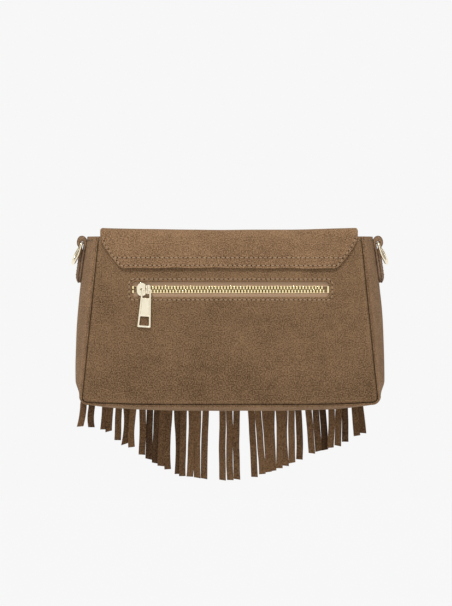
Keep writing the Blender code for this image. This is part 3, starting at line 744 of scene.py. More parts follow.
def makeGusset():
    stations = gussetStations()
    outer, inner, uvRows, rubs = [], [], [], []
    along, before = 0.0, stations[0]
    for station in stations:
        x, z, nx, nz = station
        along += math.hypot(x - before[0], z - before[1])
        before = station
        depth = 2 * halfDepth(max(z, bag["baseZ"]))
        edge = [step / depth for step in gusset["edgeSteps"]]
        line = joined(edge, spaced(edge[-1], 1 - edge[-1], (1 - 2 * edge[-1]) / gusset["acrossSteps"]),
                      [1 - t for t in reversed(edge)])
        outer.append([gussetPoint(station, t, along) for t in line])
        under = [gussetLift(x, z, t, along)[0] for t in line]
        inner.append([Vector((x + nx * lift, depth * (t - 0.5), settled(x, z) + nz * lift))
                      for t, lift in zip(line, under)])
        lengths = [0.0]
        for a, b in zip(outer[-1], outer[-1][1:]):
            lengths.append(lengths[-1] + (b - a).length)
        uvRows.append([(v - lengths[-1] / 2, along) for v in lengths])
        seams = [min(t, 1 - t) * depth for t in line]
        # Rubbed nap and painted highlight on the ridge beside each seam, painted shade in the seams
        rubs.append([0.45 * hump(d - 2.4 * mm, 1.6 * mm) - 0.7 * hump(d, 0.7 * mm) for d in seams])
    return shell("gussetSuede", outer, inner, [suedeGusset, cutEdge], None, uvRows, rubRows=rubs)


gussetSuede = makeGusset()
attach(gussetSuede, "bag")
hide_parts("gusset")
print("gusset made")


# Flap: one sheet from its sewn back end over the mouth and down the front
flap = {
    "hingeY": -26.7 * mm,
    "arcZ": 5.8 * mm,
    "corner": 6.6 * mm,
    "frontY": 30.0 * mm,
    "footY": 32.9 * mm,
    "footZ": -85.3 * mm,
    "yokeZ": panel["yokeZ"],
    "thick": 1.4 * mm,
    "topHalf": 107.0 * mm,
    "footHalf": 114.5 * mm,
    "yokeNarrows": 17.2 * mm,
    "yokePower": 1.45,
    "round": 3.0 * mm,
    "crestRound": 2.2 * mm,
    "sag": 1.7 * mm,
    "raise": 0.3 * mm,
    "shift": -0.8 * mm,
    "edgeSteps": [v * mm for v in (0, 0.12, 0.3, 0.6, 1.1, 1.8, 2.6)],
    "step": 1.5 * mm,
    "yokeRows": (-18.6 * mm, -12.2 * mm),  # heights of the stitches that sew it to the back panel
    "yokeInset": 2.1 * mm,
    "frontInset": 2.4 * mm,          # of the front leaf's stitches, and how far apart their two rows lie
    "frontRows": 6.4 * mm,
    "footLift": 0.45 * mm,           # of the sewn end's edge off the panel, with its waves out and down
    "footWave": 0.4 * mm,
    "footShift": 0.9 * mm,
    "stitchDip": 0.15 * mm,
    "leafWaves": (0.9 * mm, 0.3 * mm),     # broad and small ones of the front leaf
    "topWave": 0.35 * mm,
}


# How much a rounded corner takes off the half width, this far from the sheet's end
def roundOff(fromEnd):
    r = flap["round"]
    if fromEnd >= r:
        return 0.0
    return r - math.sqrt(r * r - (r - max(fromEnd, 0.0)) ** 2)


# And how much where it turns over at the top
def crestRound(z):
    r, crest = flap["crestRound"], flap["arcZ"] + flap["corner"]
    t = min(max((z - crest + r) / r, 0.0), 1.0)
    return r * (1 - math.sqrt(1 - t * t)) * 0.8


# Half width of the sewn back end, without its rounded corners, and of the front leaf
def yokeHalf(z):
    t = (bag["rimZ"] - z) / (bag["rimZ"] - flap["yokeZ"])
    return flap["topHalf"] - flap["yokeNarrows"] * max(t, 0.0) ** flap["yokePower"]


def frontShare(z):
    return (flap["arcZ"] - z) / (flap["arcZ"] - flap["footZ"])


def frontHalf(z):
    return mix(flap["topHalf"], flap["footHalf"], frontShare(z))


def yokeFace(z):
    return -halfDepth(z) - bag["gap"] - flap["thick"]


# Along the flap's outer face from the yoke's edge: y, z and half width
def flapLine():
    r, top = flap["corner"], flap["topHalf"]
    foot, front = flap["footZ"], flap["frontY"]
    yokeRows = joined([flap["yokeZ"] + v for v in flap["edgeSteps"]],
                      spaced(flap["yokeZ"] + flap["edgeSteps"][-1], bag["rimZ"], 1.3 * mm))
    line = [(yokeFace(z), z, yokeHalf(z) - roundOff(z - flap["yokeZ"])) for z in yokeRows]
    line += [(y, z, top) for y, z in arc(flap["hingeY"] + r, flap["arcZ"], r, 180, 90, 9)]
    line += [(y, flap["arcZ"] + r, top) for y in spaced(flap["hingeY"] + r, front - r, flap["step"])[1:-1]]
    line += [(y, z, top) for y, z in arc(front - r, flap["arcZ"], r, 90, 0, 9)]
    frontRows = joined(spaced(flap["arcZ"], foot + flap["edgeSteps"][-1], flap["step"]),
                       [foot + v for v in reversed(flap["edgeSteps"])])
    return line + [(mix(front, flap["footY"], frontShare(z)), z, frontHalf(z)) for z in frontRows[1:]]


# The line with its outward normal and the length along it
def flapStations():
    line, stations, along = flapLine(), [], 0.0
    for i, (y, z, half) in enumerate(line):
        before, after = line[max(i - 1, 0)], line[min(i + 1, len(line) - 1)]
        tangent = Vector((after[0] - before[0], after[1] - before[1])).normalized()
        if i:
            along += math.hypot(y - line[i - 1][0], z - line[i - 1][1])
        stations.append({"y": y, "z": z, "half": half - crestRound(z), "out": (-tangent.y, tangent.x),
                         "along": along})
    return stations


# A point of the sheet, this far below its outer face, with the sheet's waves and its sag over the mouth
def flapPoint(station, x, inward=0.0):
    y, z, half, along = station["y"], station["z"], station["half"], station["along"]
    ny, nz = station["out"]
    lift = -inward
    sag = (flap["sag"] * (1 - (x / flap["topHalf"]) ** 2) - flap["raise"]) * smooth(-3 * mm, 9 * mm, z)
    shift = 0.0
    if y < flap["hingeY"] + 1 * mm and z < bag["rimZ"] + 0.1 * mm:
        lift += panelFlow(x, z, -1)
        foot = hump(z - flap["yokeZ"], 3.0 * mm)
        lift += foot * (flap["footLift"] + flap["footWave"] * wander(x, 0, 17 * mm, 5.2))
        shift = foot * flap["footShift"] * wander(x, 0, 24 * mm, 9.7)
        lift -= flap["stitchDip"] * sum(hump(z - row, 0.6 * mm) for row in flap["yokeRows"])
    elif y > 0 and z < flap["arcZ"]:
        down = smooth(flap["arcZ"], -40 * mm, z)
        broad, small = flap["leafWaves"]
        lift += (broad * wander(x, z * 0.5, 40 * mm, 2.2) + small * wander(x, z, 17 * mm, 6.6)) * down
    else:
        lift += flap["topWave"] * wander(x, along, 30 * mm, 4.4)
    if inward == 0.0:
        edge = min(half - abs(x), along + 1 * mm)
        lift -= turnedEdge(edge, 0.35 * mm)
    return Vector((x + flap["shift"], y + ny * lift, z + nz * lift - sag + shift))


# Rubbed nap and painted highlight along the cut edges, and a painted highlight over the fold at the top
def flapToneAndShading(station, x):
    edge = min(station["half"] - abs(x), station["along"])
    return 0.5 * hump(edge, 0.9 * mm) + 0.25 * hump(station["z"] - flap["arcZ"], 7 * mm)


def flapColumns(half):
    steps = flap["edgeSteps"]
    inner = half - steps[-1]
    middle = [inner * i / 66 for i in range(-66, 67)]
    return [-half + v for v in steps[:-1]] + middle + [half - v for v in reversed(steps[:-1])]


def flapSheet(name, stations, inward, thick, narrower, materials):
    outer, inner, uvRows, rubs = [], [], [], []
    for station in stations:
        xs = flapColumns(station["half"] - narrower)
        outer.append([flapPoint(station, x, inward) for x in xs])
        inner.append([flapPoint(station, x, inward + thick) for x in xs])
        uvRows.append([(x, station["along"]) for x in xs])
        rubs.append([flapToneAndShading(station, x) for x in xs])
    return shell(name, outer, inner, materials, None, uvRows, rubRows=rubs)


flapRows = flapStations()
flapSuede = flapSheet("flapSuede", flapRows, 0.0, flap["thick"], 0.0, [suedeFlap, cutEdge])
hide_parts("flap", "flap_yoke")
flapLiningSizes = {"thick": 0.5 * mm, "narrower": 1.2 * mm, "fromHinge": 1.4 * mm, "fromFoot": 11.5 * mm}
liningRows = [s for s in flapRows if s["y"] > flap["hingeY"] + flapLiningSizes["fromHinge"]
              and s["z"] > flap["footZ"] + flapLiningSizes["fromFoot"]]
flapLining = flapSheet("flapLiningCloth", liningRows, flap["thick"] + bag["gap"], flapLiningSizes["thick"],
                       flapLiningSizes["narrower"], [liningCloth])
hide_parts("flap_lining")
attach(flapLining, "flap_body")
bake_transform(flapSuede)
print("flap made")


# Geometry Nodes for what repeats
def geometryTree(name, inputs):
    tree = bpy.data.node_groups.new(name, "GeometryNodeTree")
    tree.interface.new_socket("Geometry", in_out="INPUT", socket_type="NodeSocketGeometry")
    for label, kind in inputs:
        tree.interface.new_socket(label, in_out="INPUT", socket_type=kind)
    tree.interface.new_socket("Geometry", in_out="OUTPUT", socket_type="NodeSocketGeometry")
    return tree, tree.nodes.new("NodeGroupInput"), tree.nodes.new("NodeGroupOutput")


# The mesh that a tree makes from this one, with its inputs set by name
def grown(name, tree, mesh, values):
    source = addObject(name + "Source", mesh)
    change = source.modifiers.new("grow", "NODES")
    change.node_group = tree
    for item in tree.interface.items_tree:
        if item.in_out == "INPUT" and item.name in values:
            change[item.identifier] = values[item.name]
    made = evaluated(source)
    made.name = name
    shadeSmooth(made, 40)
    return addObject(name, made)


holeRadius = 0.5 * mm


def makeStitchTree():
    tree, given, result = geometryTree("stitchRow", [
        ("Pitch", "NodeSocketFloat"), ("Length", "NodeSocketFloat"), ("Radius", "NodeSocketFloat"),
        ("Thread", "NodeSocketMaterial"), ("Hole", "NodeSocketMaterial")])
    line = node(tree, "GeometryNodeMeshToCurve", Mesh=given.outputs["Geometry"]).outputs[0]
    half = times(tree, given.outputs["Pitch"], 0.5)
    even = node(tree, "GeometryNodeResampleCurve", mode="LENGTH", Curve=line, Length=half).outputs[0]
    index = node(tree, "GeometryNodeSplineParameter").outputs["Index"]
    isHole = maths(tree, "MODULO", index, 2.0)
    along = node(tree, "GeometryNodeInputTangent").outputs[0]
    turn = node(tree, "FunctionNodeAlignRotationToVector", axis="X", Vector=along).outputs[0]
    grain = node(tree, "GeometryNodeMeshUVSphere", Segments=10, Rings=8, Radius=1.0).outputs[0]
    halfLength = times(tree, given.outputs["Length"], 0.5)
    radius = given.outputs["Radius"]
    size = node(tree, "ShaderNodeCombineXYZ", X=halfLength, Y=radius, Z=radius).outputs[0]
    thread = node(tree, "GeometryNodeTransform", Geometry=grain, Scale=size).outputs[0]
    thread = node(tree, "GeometryNodeSetMaterial", Geometry=thread,
                  Material=given.outputs["Thread"]).outputs[0]
    # a dark dot at each needle hole: painted shade
    dot = node(tree, "GeometryNodeMeshUVSphere", Segments=8, Rings=6, Radius=holeRadius).outputs[0]
    dot = node(tree, "GeometryNodeSetMaterial", Geometry=dot, Material=given.outputs["Hole"]).outputs[0]
    isThread = minus(tree, 1.0, isHole)
    threads = node(tree, "GeometryNodeInstanceOnPoints", Points=even, Selection=isThread, Instance=thread,
                   Rotation=turn).outputs[0]
    holes = node(tree, "GeometryNodeInstanceOnPoints", Points=even, Selection=isHole, Instance=dot).outputs[0]
    both = tree.nodes.new("GeometryNodeJoinGeometry")
    tree.links.new(threads, both.inputs[0])
    tree.links.new(holes, both.inputs[0])
    real = node(tree, "GeometryNodeRealizeInstances", Geometry=both.outputs[0]).outputs[0]
    tree.links.new(real, result.inputs[0])
    return tree


stitchTree = makeStitchTree()
stitch = {"Pitch": 3.9 * mm, "Length": 2.9 * mm, "Radius": 0.4 * mm, "Thread": threadTan, "Hole": needleHoleShade}
sewStep = 1.2 * mm                   # between the points of a path that is sewn along
rimSew = {"z": 2.3 * mm, "half": 106 * mm, "corner": (106.3 * mm, 109.4 * mm), "Pitch": 2.9 * mm,
          "Length": 2.1 * mm, "Radius": 0.36 * mm}


# Rows of stitches along paths of points; a path that ends where it starts closes on itself
def stitchRows(name, paths, body, **changes):
    verts, edges = [], []
    for path in paths:
        start = len(verts)
        ends = (path[0] - path[-1]).length < 0.01 * mm
        kept = path[:-1] if ends else path
        verts += [tuple(p) for p in kept]
        edges += [(start + i, start + i + 1) for i in range(len(kept) - 1)]
        if ends:
            edges.append((start + len(kept) - 1, start))
    mesh = bpy.data.meshes.new(name + "Path")
    mesh.from_pydata(verts, edges, [])
    piece = grown(name, stitchTree, mesh, {**stitch, **changes})
    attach(piece, body)
    return piece


# Points on straight runs between corners, given as pairs
def alongLine(points):
    line = []
    for (ax, az), (bx, bz) in zip(points, points[1:]):
        count = max(1, round(math.hypot(bx - ax, bz - az) / sewStep))
        line += [(mix(ax, bx, i / count), mix(az, bz, i / count)) for i in range(count)]
    return line + [points[-1]]


def slotStitchPath():
    out, cut = slot["stitchOut"], slot["chamfer"] * 1.25
    left, right = slot["left"] - out, slot["right"] + out
    top = slot["middleZ"] + slot["halfHeight"] + out
    bottom = slot["middleZ"] - slot["halfHeight"] - out
    corners = [(left + cut, top), (right - cut, top), (right, top - cut), (right, bottom + cut),
               (right - cut, bottom), (left + cut, bottom), (left, bottom + cut), (left, top - cut),
               (left + cut, top)]
    return [panelPoint(x, z, -1, 0.12 * mm) for x, z in alongLine(corners)]


# The flap's station at a height, at its back end or its front leaf
def stationAt(z, back):
    chosen = [s for s in flapRows if (s["y"] < 0) == back and (back or s["z"] < flap["arcZ"])]
    below = min(chosen, key=lambda s: abs(s["z"] - z))
    return {**below, "z": z, "y": yokeFace(z) if back else below["y"]}


def yokeStitchPaths():
    inset = flap["yokeInset"]
    low, high = flap["yokeRows"]
    left = [(-yokeHalf(z) + inset, z) for z in spaced(3.6 * mm, low + 1.5 * mm, sewStep)]
    right = [(-x, z) for x, z in reversed(left)]
    foot = [(left[-1][0] + 1.6 * mm, low), (right[0][0] - 1.6 * mm, low)]
    outline = left + alongLine(foot) + right
    edge = yokeHalf(high) - inset - 0.6 * mm
    upper = alongLine([(-edge, high), (edge, high)])
    return [[flapPoint(stationAt(z, True), x, -0.1 * mm) for x, z in run] for run in (outline, upper)]


def flapStitchPaths():
    inset = flap["frontInset"]
    low = flap["footZ"] + inset
    high, edge = low + flap["frontRows"], frontHalf(low) - inset
    left = [(inset - frontHalf(z), z) for z in spaced(4 * mm, low, 1.3 * mm)]
    foot = alongLine([left[-1], (-left[-1][0], low)])
    right = [(-x, z) for x, z in reversed(left)]
    upper = alongLine([(-edge, high), (edge, high)])
    runs = (left + foot[1:-1] + right, upper)
    return [[flapPoint(stationAt(z, False), x, -0.1 * mm) for x, z in run] for run in runs]


def gussetStitchPath(side):
    z = rimSew["z"]
    station = (side * seamHalfWidth(z), z, side, 0.0)
    along = bag["rimZ"] - z
    return [gussetPoint(station, t, along, 0.1 * mm) for t in spaced(0.05, 0.95, 0.03)]


stitchRows("slotStitches", [slotStitchPath()], "bag")
stitchRows("yokeStitches", yokeStitchPaths(), "bag")
stitchRows("flapStitches", flapStitchPaths(), "flap_body")
rimRow = [panelPoint(x, rimSew["z"], 1, 0.1 * mm) for x in spaced(-rimSew["half"], rimSew["half"], 1.5 * mm)]
cornerRow = [panelPoint(x, rimSew["z"], -1, 0.1 * mm) for x in spaced(*rimSew["corner"], 0.5 * mm)]
stitchRows("rimStitches", [rimRow, cornerRow, gussetStitchPath(-1), gussetStitchPath(1)], "bag",
           Pitch=rimSew["Pitch"], Length=rimSew["Length"], Radius=rimSew["Radius"])
print("stitches made")


# Fringe: strips cut from one piece, bent and gathered by nodes
fringe = {
    "headerY": 32.1 * mm,
    "headerZ": -85.6 * mm,
    "baseZ": -137.0 * mm,
    "width": 5.5 * mm,
    "thick": 1.1 * mm,
    "halfWidth": 114.25 * mm,
    "band": 5.0 * mm,
    "curl": 2.2 * mm,
    # the curve that the strips' ends hang on, x and z in mm
    "ends": [(-125, -152.5), (-112, -152.8), (-100, -157), (-92, -165.3), (-82, -170), (-71, -178),
             (-56, -186), (-40, -193), (-22, -195.8), (-3, -197), (18, -194.6), (33, -190), (48, -184.2),
             (66, -175.2), (90, -168.5), (104, -161), (114, -157)],
    # it hangs further from the camera than the plane that it was measured in, so its places are spread
    # by this share from a point straight before the camera
    "spread": 1.0086,
    "spreadX": -3.3 * mm,
    "spreadZ": -50 * mm,
}

# Each clump of strips from left to right: where it hangs at the bag's base, how far its strips lie
# apart there, how far they lean, how many there are, and whether they hang behind the rest (mm)
clumps = [
    (-121.6, 5.6, -2.8, 1, 0), (-114.8, 5.6, -0.4, 1, 0), (-103.5, 4.2, -1.3, 2, 0),
    (-92.0, 5.8, -1.1, 3, 0), (-72.5, 6.0, -0.9, 1, 0), (-66.6, 5.9, -1.2, 2, 1),
    (-56.2, 6.0, -1.2, 2, 0), (-43.5, 5.4, 0.5, 1, 1), (-38.3, 6.0, -1.2, 4, 0),
    (-6.3, 5.7, 0.6, 3, 0), (17.6, 5.7, 3.0, 3, 0), (34.5, 5.3, 1.3, 3, 0),
    (51.0, 5.8, 0.4, 2, 0), (65.1, 5.9, 3.1, 2, 0), (76.7, 5.6, 2.4, 1, 1),
    (84.4, 6.1, -1.1, 2, 0), (95.4, 5.0, 0.2, 1, 1), (103.4, 4.8, 2.2, 2, 0),
]


# Where the curve of the ends lies above x
def endAt(x):
    for (left, high), (right, low) in zip(fringe["ends"], fringe["ends"][1:]):
        if x <= right * mm:
            break
    return mix(high, low, min(max((x / mm - left) / (right - left), 0.0), 1.0)) * mm


def stripTable():
    strips = []
    for start, pitch, lean, count, behind in clumps:
        for i in range(count):
            base = mix(fringe["spreadX"], (start + pitch * i) * mm, fringe["spread"])
            foot = base + lean * mm * (1 + 0.25 * wander(base, 1 * mm, 7 * mm, 1.7))
            end = mix(fringe["spreadZ"], endAt(foot), fringe["spread"])
            end += 0.8 * mm * wander(base, 0, 9 * mm, 7.7)
            # Each strip's own random tone, darker toward both sides of the row, with painted shade on the
            # strips that hang behind
            tone = 1.5 * wander(base, 0, 7 * mm, 8.8) - 0.9 * (abs(foot + 8 * mm) / (110 * mm)) ** 1.5
            strips.append({"base": base, "foot": foot, "drop": fringe["headerZ"] - end, "behind": behind,
                           "turn": 0.5 * wander(base, 0, 4.3 * mm, 3.3), "rub": tone - 0.8 * behind,
                           "bow": 1.6 * mm * wander(base, 0, 6 * mm, 4.1)})
    pitch = 2 * fringe["halfWidth"] / len(strips)
    for i, strip in enumerate(strips):
        strip["head"] = -fringe["halfWidth"] + pitch * (i + 0.5)
    return strips


def makeFringeTree():
    tree, given, result = geometryTree("fringeStrips", [
        ("Width", "NodeSocketFloat"), ("Thickness", "NodeSocketFloat"), ("Curl", "NodeSocketFloat"),
        ("Band", "NodeSocketFloat"), ("Band Width", "NodeSocketFloat"), ("Seed", "NodeSocketFloat"),
        ("Front", "NodeSocketMaterial"), ("Behind", "NodeSocketMaterial")])

    def stored(name):
        return node(tree, "GeometryNodeInputNamedAttribute", data_type="FLOAT", in0=name).outputs[0]

    size = node(tree, "ShaderNodeCombineXYZ", X=given.outputs["Width"], Y=given.outputs["Thickness"], Z=1.0)
    ribbon = tree.nodes.new("GeometryNodeMeshCube")
    tree.links.new(size.outputs[0], ribbon.inputs["Size"])
    for label, count in (("Vertices X", 4), ("Vertices Y", 2), ("Vertices Z", 48)):
        ribbon.inputs[label].default_value = count
    hung = node(tree, "GeometryNodeTransform", Geometry=ribbon.outputs[0],
                Translation=(0, 0, -0.5)).outputs[0]
    strips = node(tree, "GeometryNodeInstanceOnPoints", Points=given.outputs["Geometry"],
                  Instance=hung).outputs[0]
    real = node(tree, "GeometryNodeRealizeInstances", Geometry=strips).outputs[0]

    # Where a point lies in its strip: down it as a share, across it and through it
    place = node(tree, "ShaderNodeSeparateXYZ", Vector=node(tree, "GeometryNodeInputPosition").outputs[0])
    down = minus(tree, fringe["headerZ"], place.outputs[2])
    across = minus(tree, place.outputs[0], stored("head"))
    deep = minus(tree, place.outputs[1], fringe["headerY"])
    length = times(tree, down, stored("drop"))
    toBase = node(tree, "ShaderNodeMapRange", interpolation_type="SMOOTHSTEP", Value=length,
                  From_Max=fringe["headerZ"] - fringe["baseZ"]).outputs[0]
    toFoot = node(tree, "ShaderNodeMapRange", Value=length, From_Min=fringe["headerZ"] - fringe["baseZ"],
                  From_Max=stored("drop")).outputs[0]
    # Loose waves and a twist, which grow below the header
    bent = node(tree, "ShaderNodeCombineXYZ", X=times(tree, stored("head"), 90.0),
                Y=times(tree, length, 26.0), Z=given.outputs["Seed"]).outputs[0]
    wobble = node(tree, "ShaderNodeTexNoise", Vector=bent, Scale=1.0, Detail=1.0).outputs["Color"]
    waves = node(tree, "ShaderNodeSeparateXYZ", Vector=wobble)
    loose = times(tree, toBase, given.outputs["Curl"])
    waveX = times(tree, minus(tree, waves.outputs[0], 0.5), loose)
    waveY = times(tree, minus(tree, waves.outputs[1], 0.5), loose)
    turning = times(tree, stored("turn"), times(tree, toBase, 7.0))
    twist = times(tree, minus(tree, waves.outputs[2], 0.42), turning)
    # The strip's middle line from its head past the bag's base to its foot, bowed on the way
    gathered = times(tree, minus(tree, stored("base"), stored("head")), toBase)
    leant = times(tree, minus(tree, stored("foot"), stored("base")), toFoot)
    centreX = plus(tree, stored("head"), plus(tree, gathered, leant))
    sunkBack = times(tree, times(tree, stored("behind"), toBase), 1.5 * mm)
    centreY = plus(tree, fringe["headerY"], sunkBack)
    section = node(tree, "ShaderNodeCombineXYZ", X=across, Y=deep)
    turned = node(tree, "ShaderNodeVectorRotate", rotation_type="Z_AXIS", Vector=section.outputs[0],
                  Angle=twist)
    arch = times(tree, times(tree, toFoot, minus(tree, 1.0, toFoot)), 4.0)
    bowed = plus(tree, plus(tree, centreX, waveX), times(tree, arch, stored("bow")))
    slant = times(tree, times(tree, across, toFoot), stored("turn"))
    middle = node(tree, "ShaderNodeCombineXYZ", X=bowed, Y=plus(tree, centreY, waveY),
                  Z=minus(tree, plus(tree, slant, fringe["headerZ"]), length))
    final = node(tree, "ShaderNodeVectorMath", operation="ADD", in0=middle.outputs[0], in1=turned.outputs[0])
    shaped = node(tree, "GeometryNodeSetPosition", Geometry=real, Position=final.outputs[0]).outputs[0]

    bandSize = node(tree, "ShaderNodeCombineXYZ", X=given.outputs["Band Width"], Y=given.outputs["Thickness"],
                    Z=given.outputs["Band"])
    band = node(tree, "GeometryNodeMeshCube", Size=bandSize.outputs[0]).outputs[0]
    bandAt = (0, fringe["headerY"], fringe["headerZ"] - fringe["band"] / 2)
    band = node(tree, "GeometryNodeTransform", Geometry=band, Translation=bandAt).outputs[0]
    both = tree.nodes.new("GeometryNodeJoinGeometry")
    tree.links.new(shaped, both.inputs[0])
    tree.links.new(band, both.inputs[0])
    front = node(tree, "GeometryNodeSetMaterial", Geometry=both.outputs[0],
                 Material=given.outputs["Front"]).outputs[0]
    # the strips that hang behind get the darker copy: painted shade
    back = node(tree, "GeometryNodeSetMaterial", Geometry=front, Selection=stored("behind"),
                Material=given.outputs["Behind"]).outputs[0]
    tree.links.new(back, result.inputs[0])
    return tree


def makeFringe():
    strips = stripTable()
    mesh = bpy.data.meshes.new("fringeHeads")
    mesh.from_pydata([(s["head"], fringe["headerY"], fringe["headerZ"]) for s in strips], [], [])
    for name in ("head", "base", "foot", "drop", "behind", "turn", "rub", "bow"):
        values = [float(s[name]) for s in strips]
        mesh.attributes.new(name, "FLOAT", "POINT").data.foreach_set("value", values)
    return grown("fringeSuede", makeFringeTree(), mesh, {
        "Width": fringe["width"], "Thickness": fringe["thick"], "Curl": fringe["curl"],
        "Band": fringe["band"], "Band Width": 2 * fringe["halfWidth"], "Seed": 4.0,
        "Front": suedeFringe, "Behind": suedeFringeShaded})


fringeSuede = makeFringe()
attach(fringeSuede, "fringe_body")
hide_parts("fringe")
print("fringe made:", len(clumps), "clumps")


# Zip: its places are in the slot's own frame, x along it, y into the bag and z up from its middle
zipper = {
    "tilt": math.atan2((bag["baseDepth"] - bag["rimDepth"]) / 2, bag["rimZ"] - bag["baseZ"]),
    "drop": 44.1 * mm,
    "tapeMid": 2.15 * mm,
    "pitch": 2.6 * mm,
    "toothHalf": 0.84 * mm,
    "toothOuter": 2.9 * mm,
    "toothInner": 0.2 * mm,
    "toothDepth": 1.9 * mm,
    "first": -77.0 * mm,
    "count": 60,
    "cordAt": 2.75 * mm,
    "cordRadius": 0.55 * mm,
    "cordEnds": (-81 * mm, 82 * mm),
    "tapeNear": 3.2 * mm,
    "tapeFar": 13.5 * mm,
    "tapeThick": 0.5 * mm,
    "tapeLeft": -88.4 * mm,
    "tapeRight": 89.4 * mm,
}
backPlane = (Matrix.Translation((0, -bag["rimDepth"] / 2, bag["rimZ"]))
             @ Matrix.Rotation(-zipper["tilt"], 4, "X"))
zipPlane = backPlane @ Matrix.Translation((0, 0, -zipper["drop"]))


def toothMesh(side):
    half, outer, inner = zipper["toothHalf"], zipper["toothOuter"], zipper["toothInner"]
    neck = half * 0.72
    flank = [(half, outer), (half, outer * 0.72), (neck, outer * 0.5), (half, outer * 0.34),
             (half, inner + 0.25 * mm), (half * 0.6, inner)]
    outline = [(-x, z) for x, z in flank] + flank[::-1]
    near = zipper["tapeMid"] - zipper["toothDepth"] / 2
    item = plate("tooth", [[(x, side * z) for x, z in outline]], near, near + zipper["toothDepth"], 0.18 * mm,
                 toothGold)
    mesh = item.data
    bpy.data.objects.remove(item, do_unlink=True)
    return mesh


def makeTeethTree():
    tree, given, result = geometryTree("zipTeeth", [
        ("Count", "NodeSocketInt"), ("Start", "NodeSocketVector"), ("Step", "NodeSocketVector"),
        ("Metal", "NodeSocketMaterial")])
    line = node(tree, "GeometryNodeMeshLine", Count=given.outputs["Count"],
                Start_Location=given.outputs["Start"], Offset=given.outputs["Step"]).outputs[0]
    teeth = node(tree, "GeometryNodeInstanceOnPoints", Points=line,
                 Instance=given.outputs["Geometry"]).outputs[0]
    real = node(tree, "GeometryNodeRealizeInstances", Geometry=teeth).outputs[0]
    made = node(tree, "GeometryNodeSetMaterial", Geometry=real, Material=given.outputs["Metal"]).outputs[0]
    tree.links.new(made, result.inputs[0])
    return tree


# A tape half: woven, thicker along the cord, with a selvedge along its far edge
def makeTape(side, word):
    near, far, thick = zipper["tapeNear"], zipper["tapeFar"], zipper["tapeThick"] / 2
    zs = joined(spaced(near, near + 2.4 * mm, 0.3 * mm), spaced(near + 2.4 * mm, far, 0.8 * mm))
    xs = spaced(zipper["tapeLeft"], zipper["tapeRight"], 1.5 * mm)

    def face(z, sign):
        edges = hump(z - near - 0.6 * mm, 0.6 * mm) + hump(z - far + 0.4 * mm, 0.5 * mm)
        half = thick * (0.8 + 0.2 * edges)
        row = []
        for x in xs:
            wave = 0.06 * mm * wander(x, side * z, 16 * mm, 3.9)
            row.append(zipPlane @ Vector((x, zipper["tapeMid"] + wave - sign * half, side * z)))
        return row

    piece = shell("tapeCloth" + word, [face(z, 1) for z in zs], [face(z, -1) for z in zs], [tapeCloth], None,
                  [[(x, z) for x in xs] for z in zs])
    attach(piece, "bag")
    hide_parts("zip_tape_" + word.lower())


teethTree = makeTeethTree()
for side, word in ((1, "Upper"), (-1, "Lower")):
    start = zipper["first"] + (zipper["pitch"] / 2 if side < 0 else 0.0)
    teeth = grown("zipTeeth" + word, teethTree, toothMesh(side), {
        "Count": zipper["count"], "Start": (start, 0, 0), "Step": (zipper["pitch"], 0, 0),
        "Metal": toothGold})
    teeth.data.transform(zipPlane)
    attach(teeth, "bag")
    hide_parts("zip_teeth_" + word.lower())
    cord = tube("tapeCord" + word, [zipPlane @ Vector((x, zipper["tapeMid"], side * zipper["cordAt"]))
                                    for x in spaced(*zipper["cordEnds"], 4 * mm)],
                zipper["cordRadius"], tapeCloth, False, 8)
    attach(cord, "bag")
    makeTape(side, word)
for name in ("zip_top_stop_upper", "zip_top_stop_lower", "zip_bottom_stop"):
    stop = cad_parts[name]
    stop.material_slots[0].material = toothGold
    bevel = stop.modifiers.new("bevel", "BEVEL")
    bevel.width = 0.3 * mm
    bevel.segments = 3


# Slider: a waisted front plate with flanges, its rear plate, and the bridge that carries the puller
slider = {
    "x": -73.0 * mm,
    "front": -0.35 * mm,
    "frontInner": 0.85 * mm,
    "rearInner": 3.45 * mm,
    "rear": 4.65 * mm,
    "flangeFront": 1.55 * mm,
    "flangeRear": 2.75 * mm,
    "bridgeX": 3.6 * mm,
    "bridgeRadius": 3.6 * mm,
    "bridgeWire": 0.9 * mm,
    "pivot": -1.6 * mm,
    "dimple": 1.0 * mm,
    "plateEdge": 0.3 * mm,
    # half of the plates' outline, and a flange and the web between the plates, x and z in mm
    "outline": [(-4.5, 0.0), (-4.4, 2.0), (-3.4, 4.1), (-1.7, 5.3), (0.2, 5.6), (1.9, 5.0), (3.0, 4.1),
                (4.4, 3.9), (5.9, 3.9), (6.6, 3.2), (6.7, 0.0)],
    "flange": [(-2.0, 3.2), (6.3, 3.2), (6.3, 3.95), (-0.5, 4.3), (-1.8, 4.2)],
    "web": [(-4.0, -0.15), (-1.0, -0.15), (-1.0, 0.15), (-4.0, 0.15)],
}


# A smooth closed line through corners
def rounded(points):
    line = []
    count = len(points)
    for i in range(count):
        a, b, c, d = (Vector(points[(i + j) % count]) for j in (-1, 0, 1, 2))
        for t in (0, 1 / 3, 2 / 3):
            line.append(tuple(0.5 * (2 * b + (c - a) * t + (2 * a - 5 * b + 4 * c - d) * t * t
                                     + (3 * b - a - 3 * c + d) * t ** 3)))
    return line


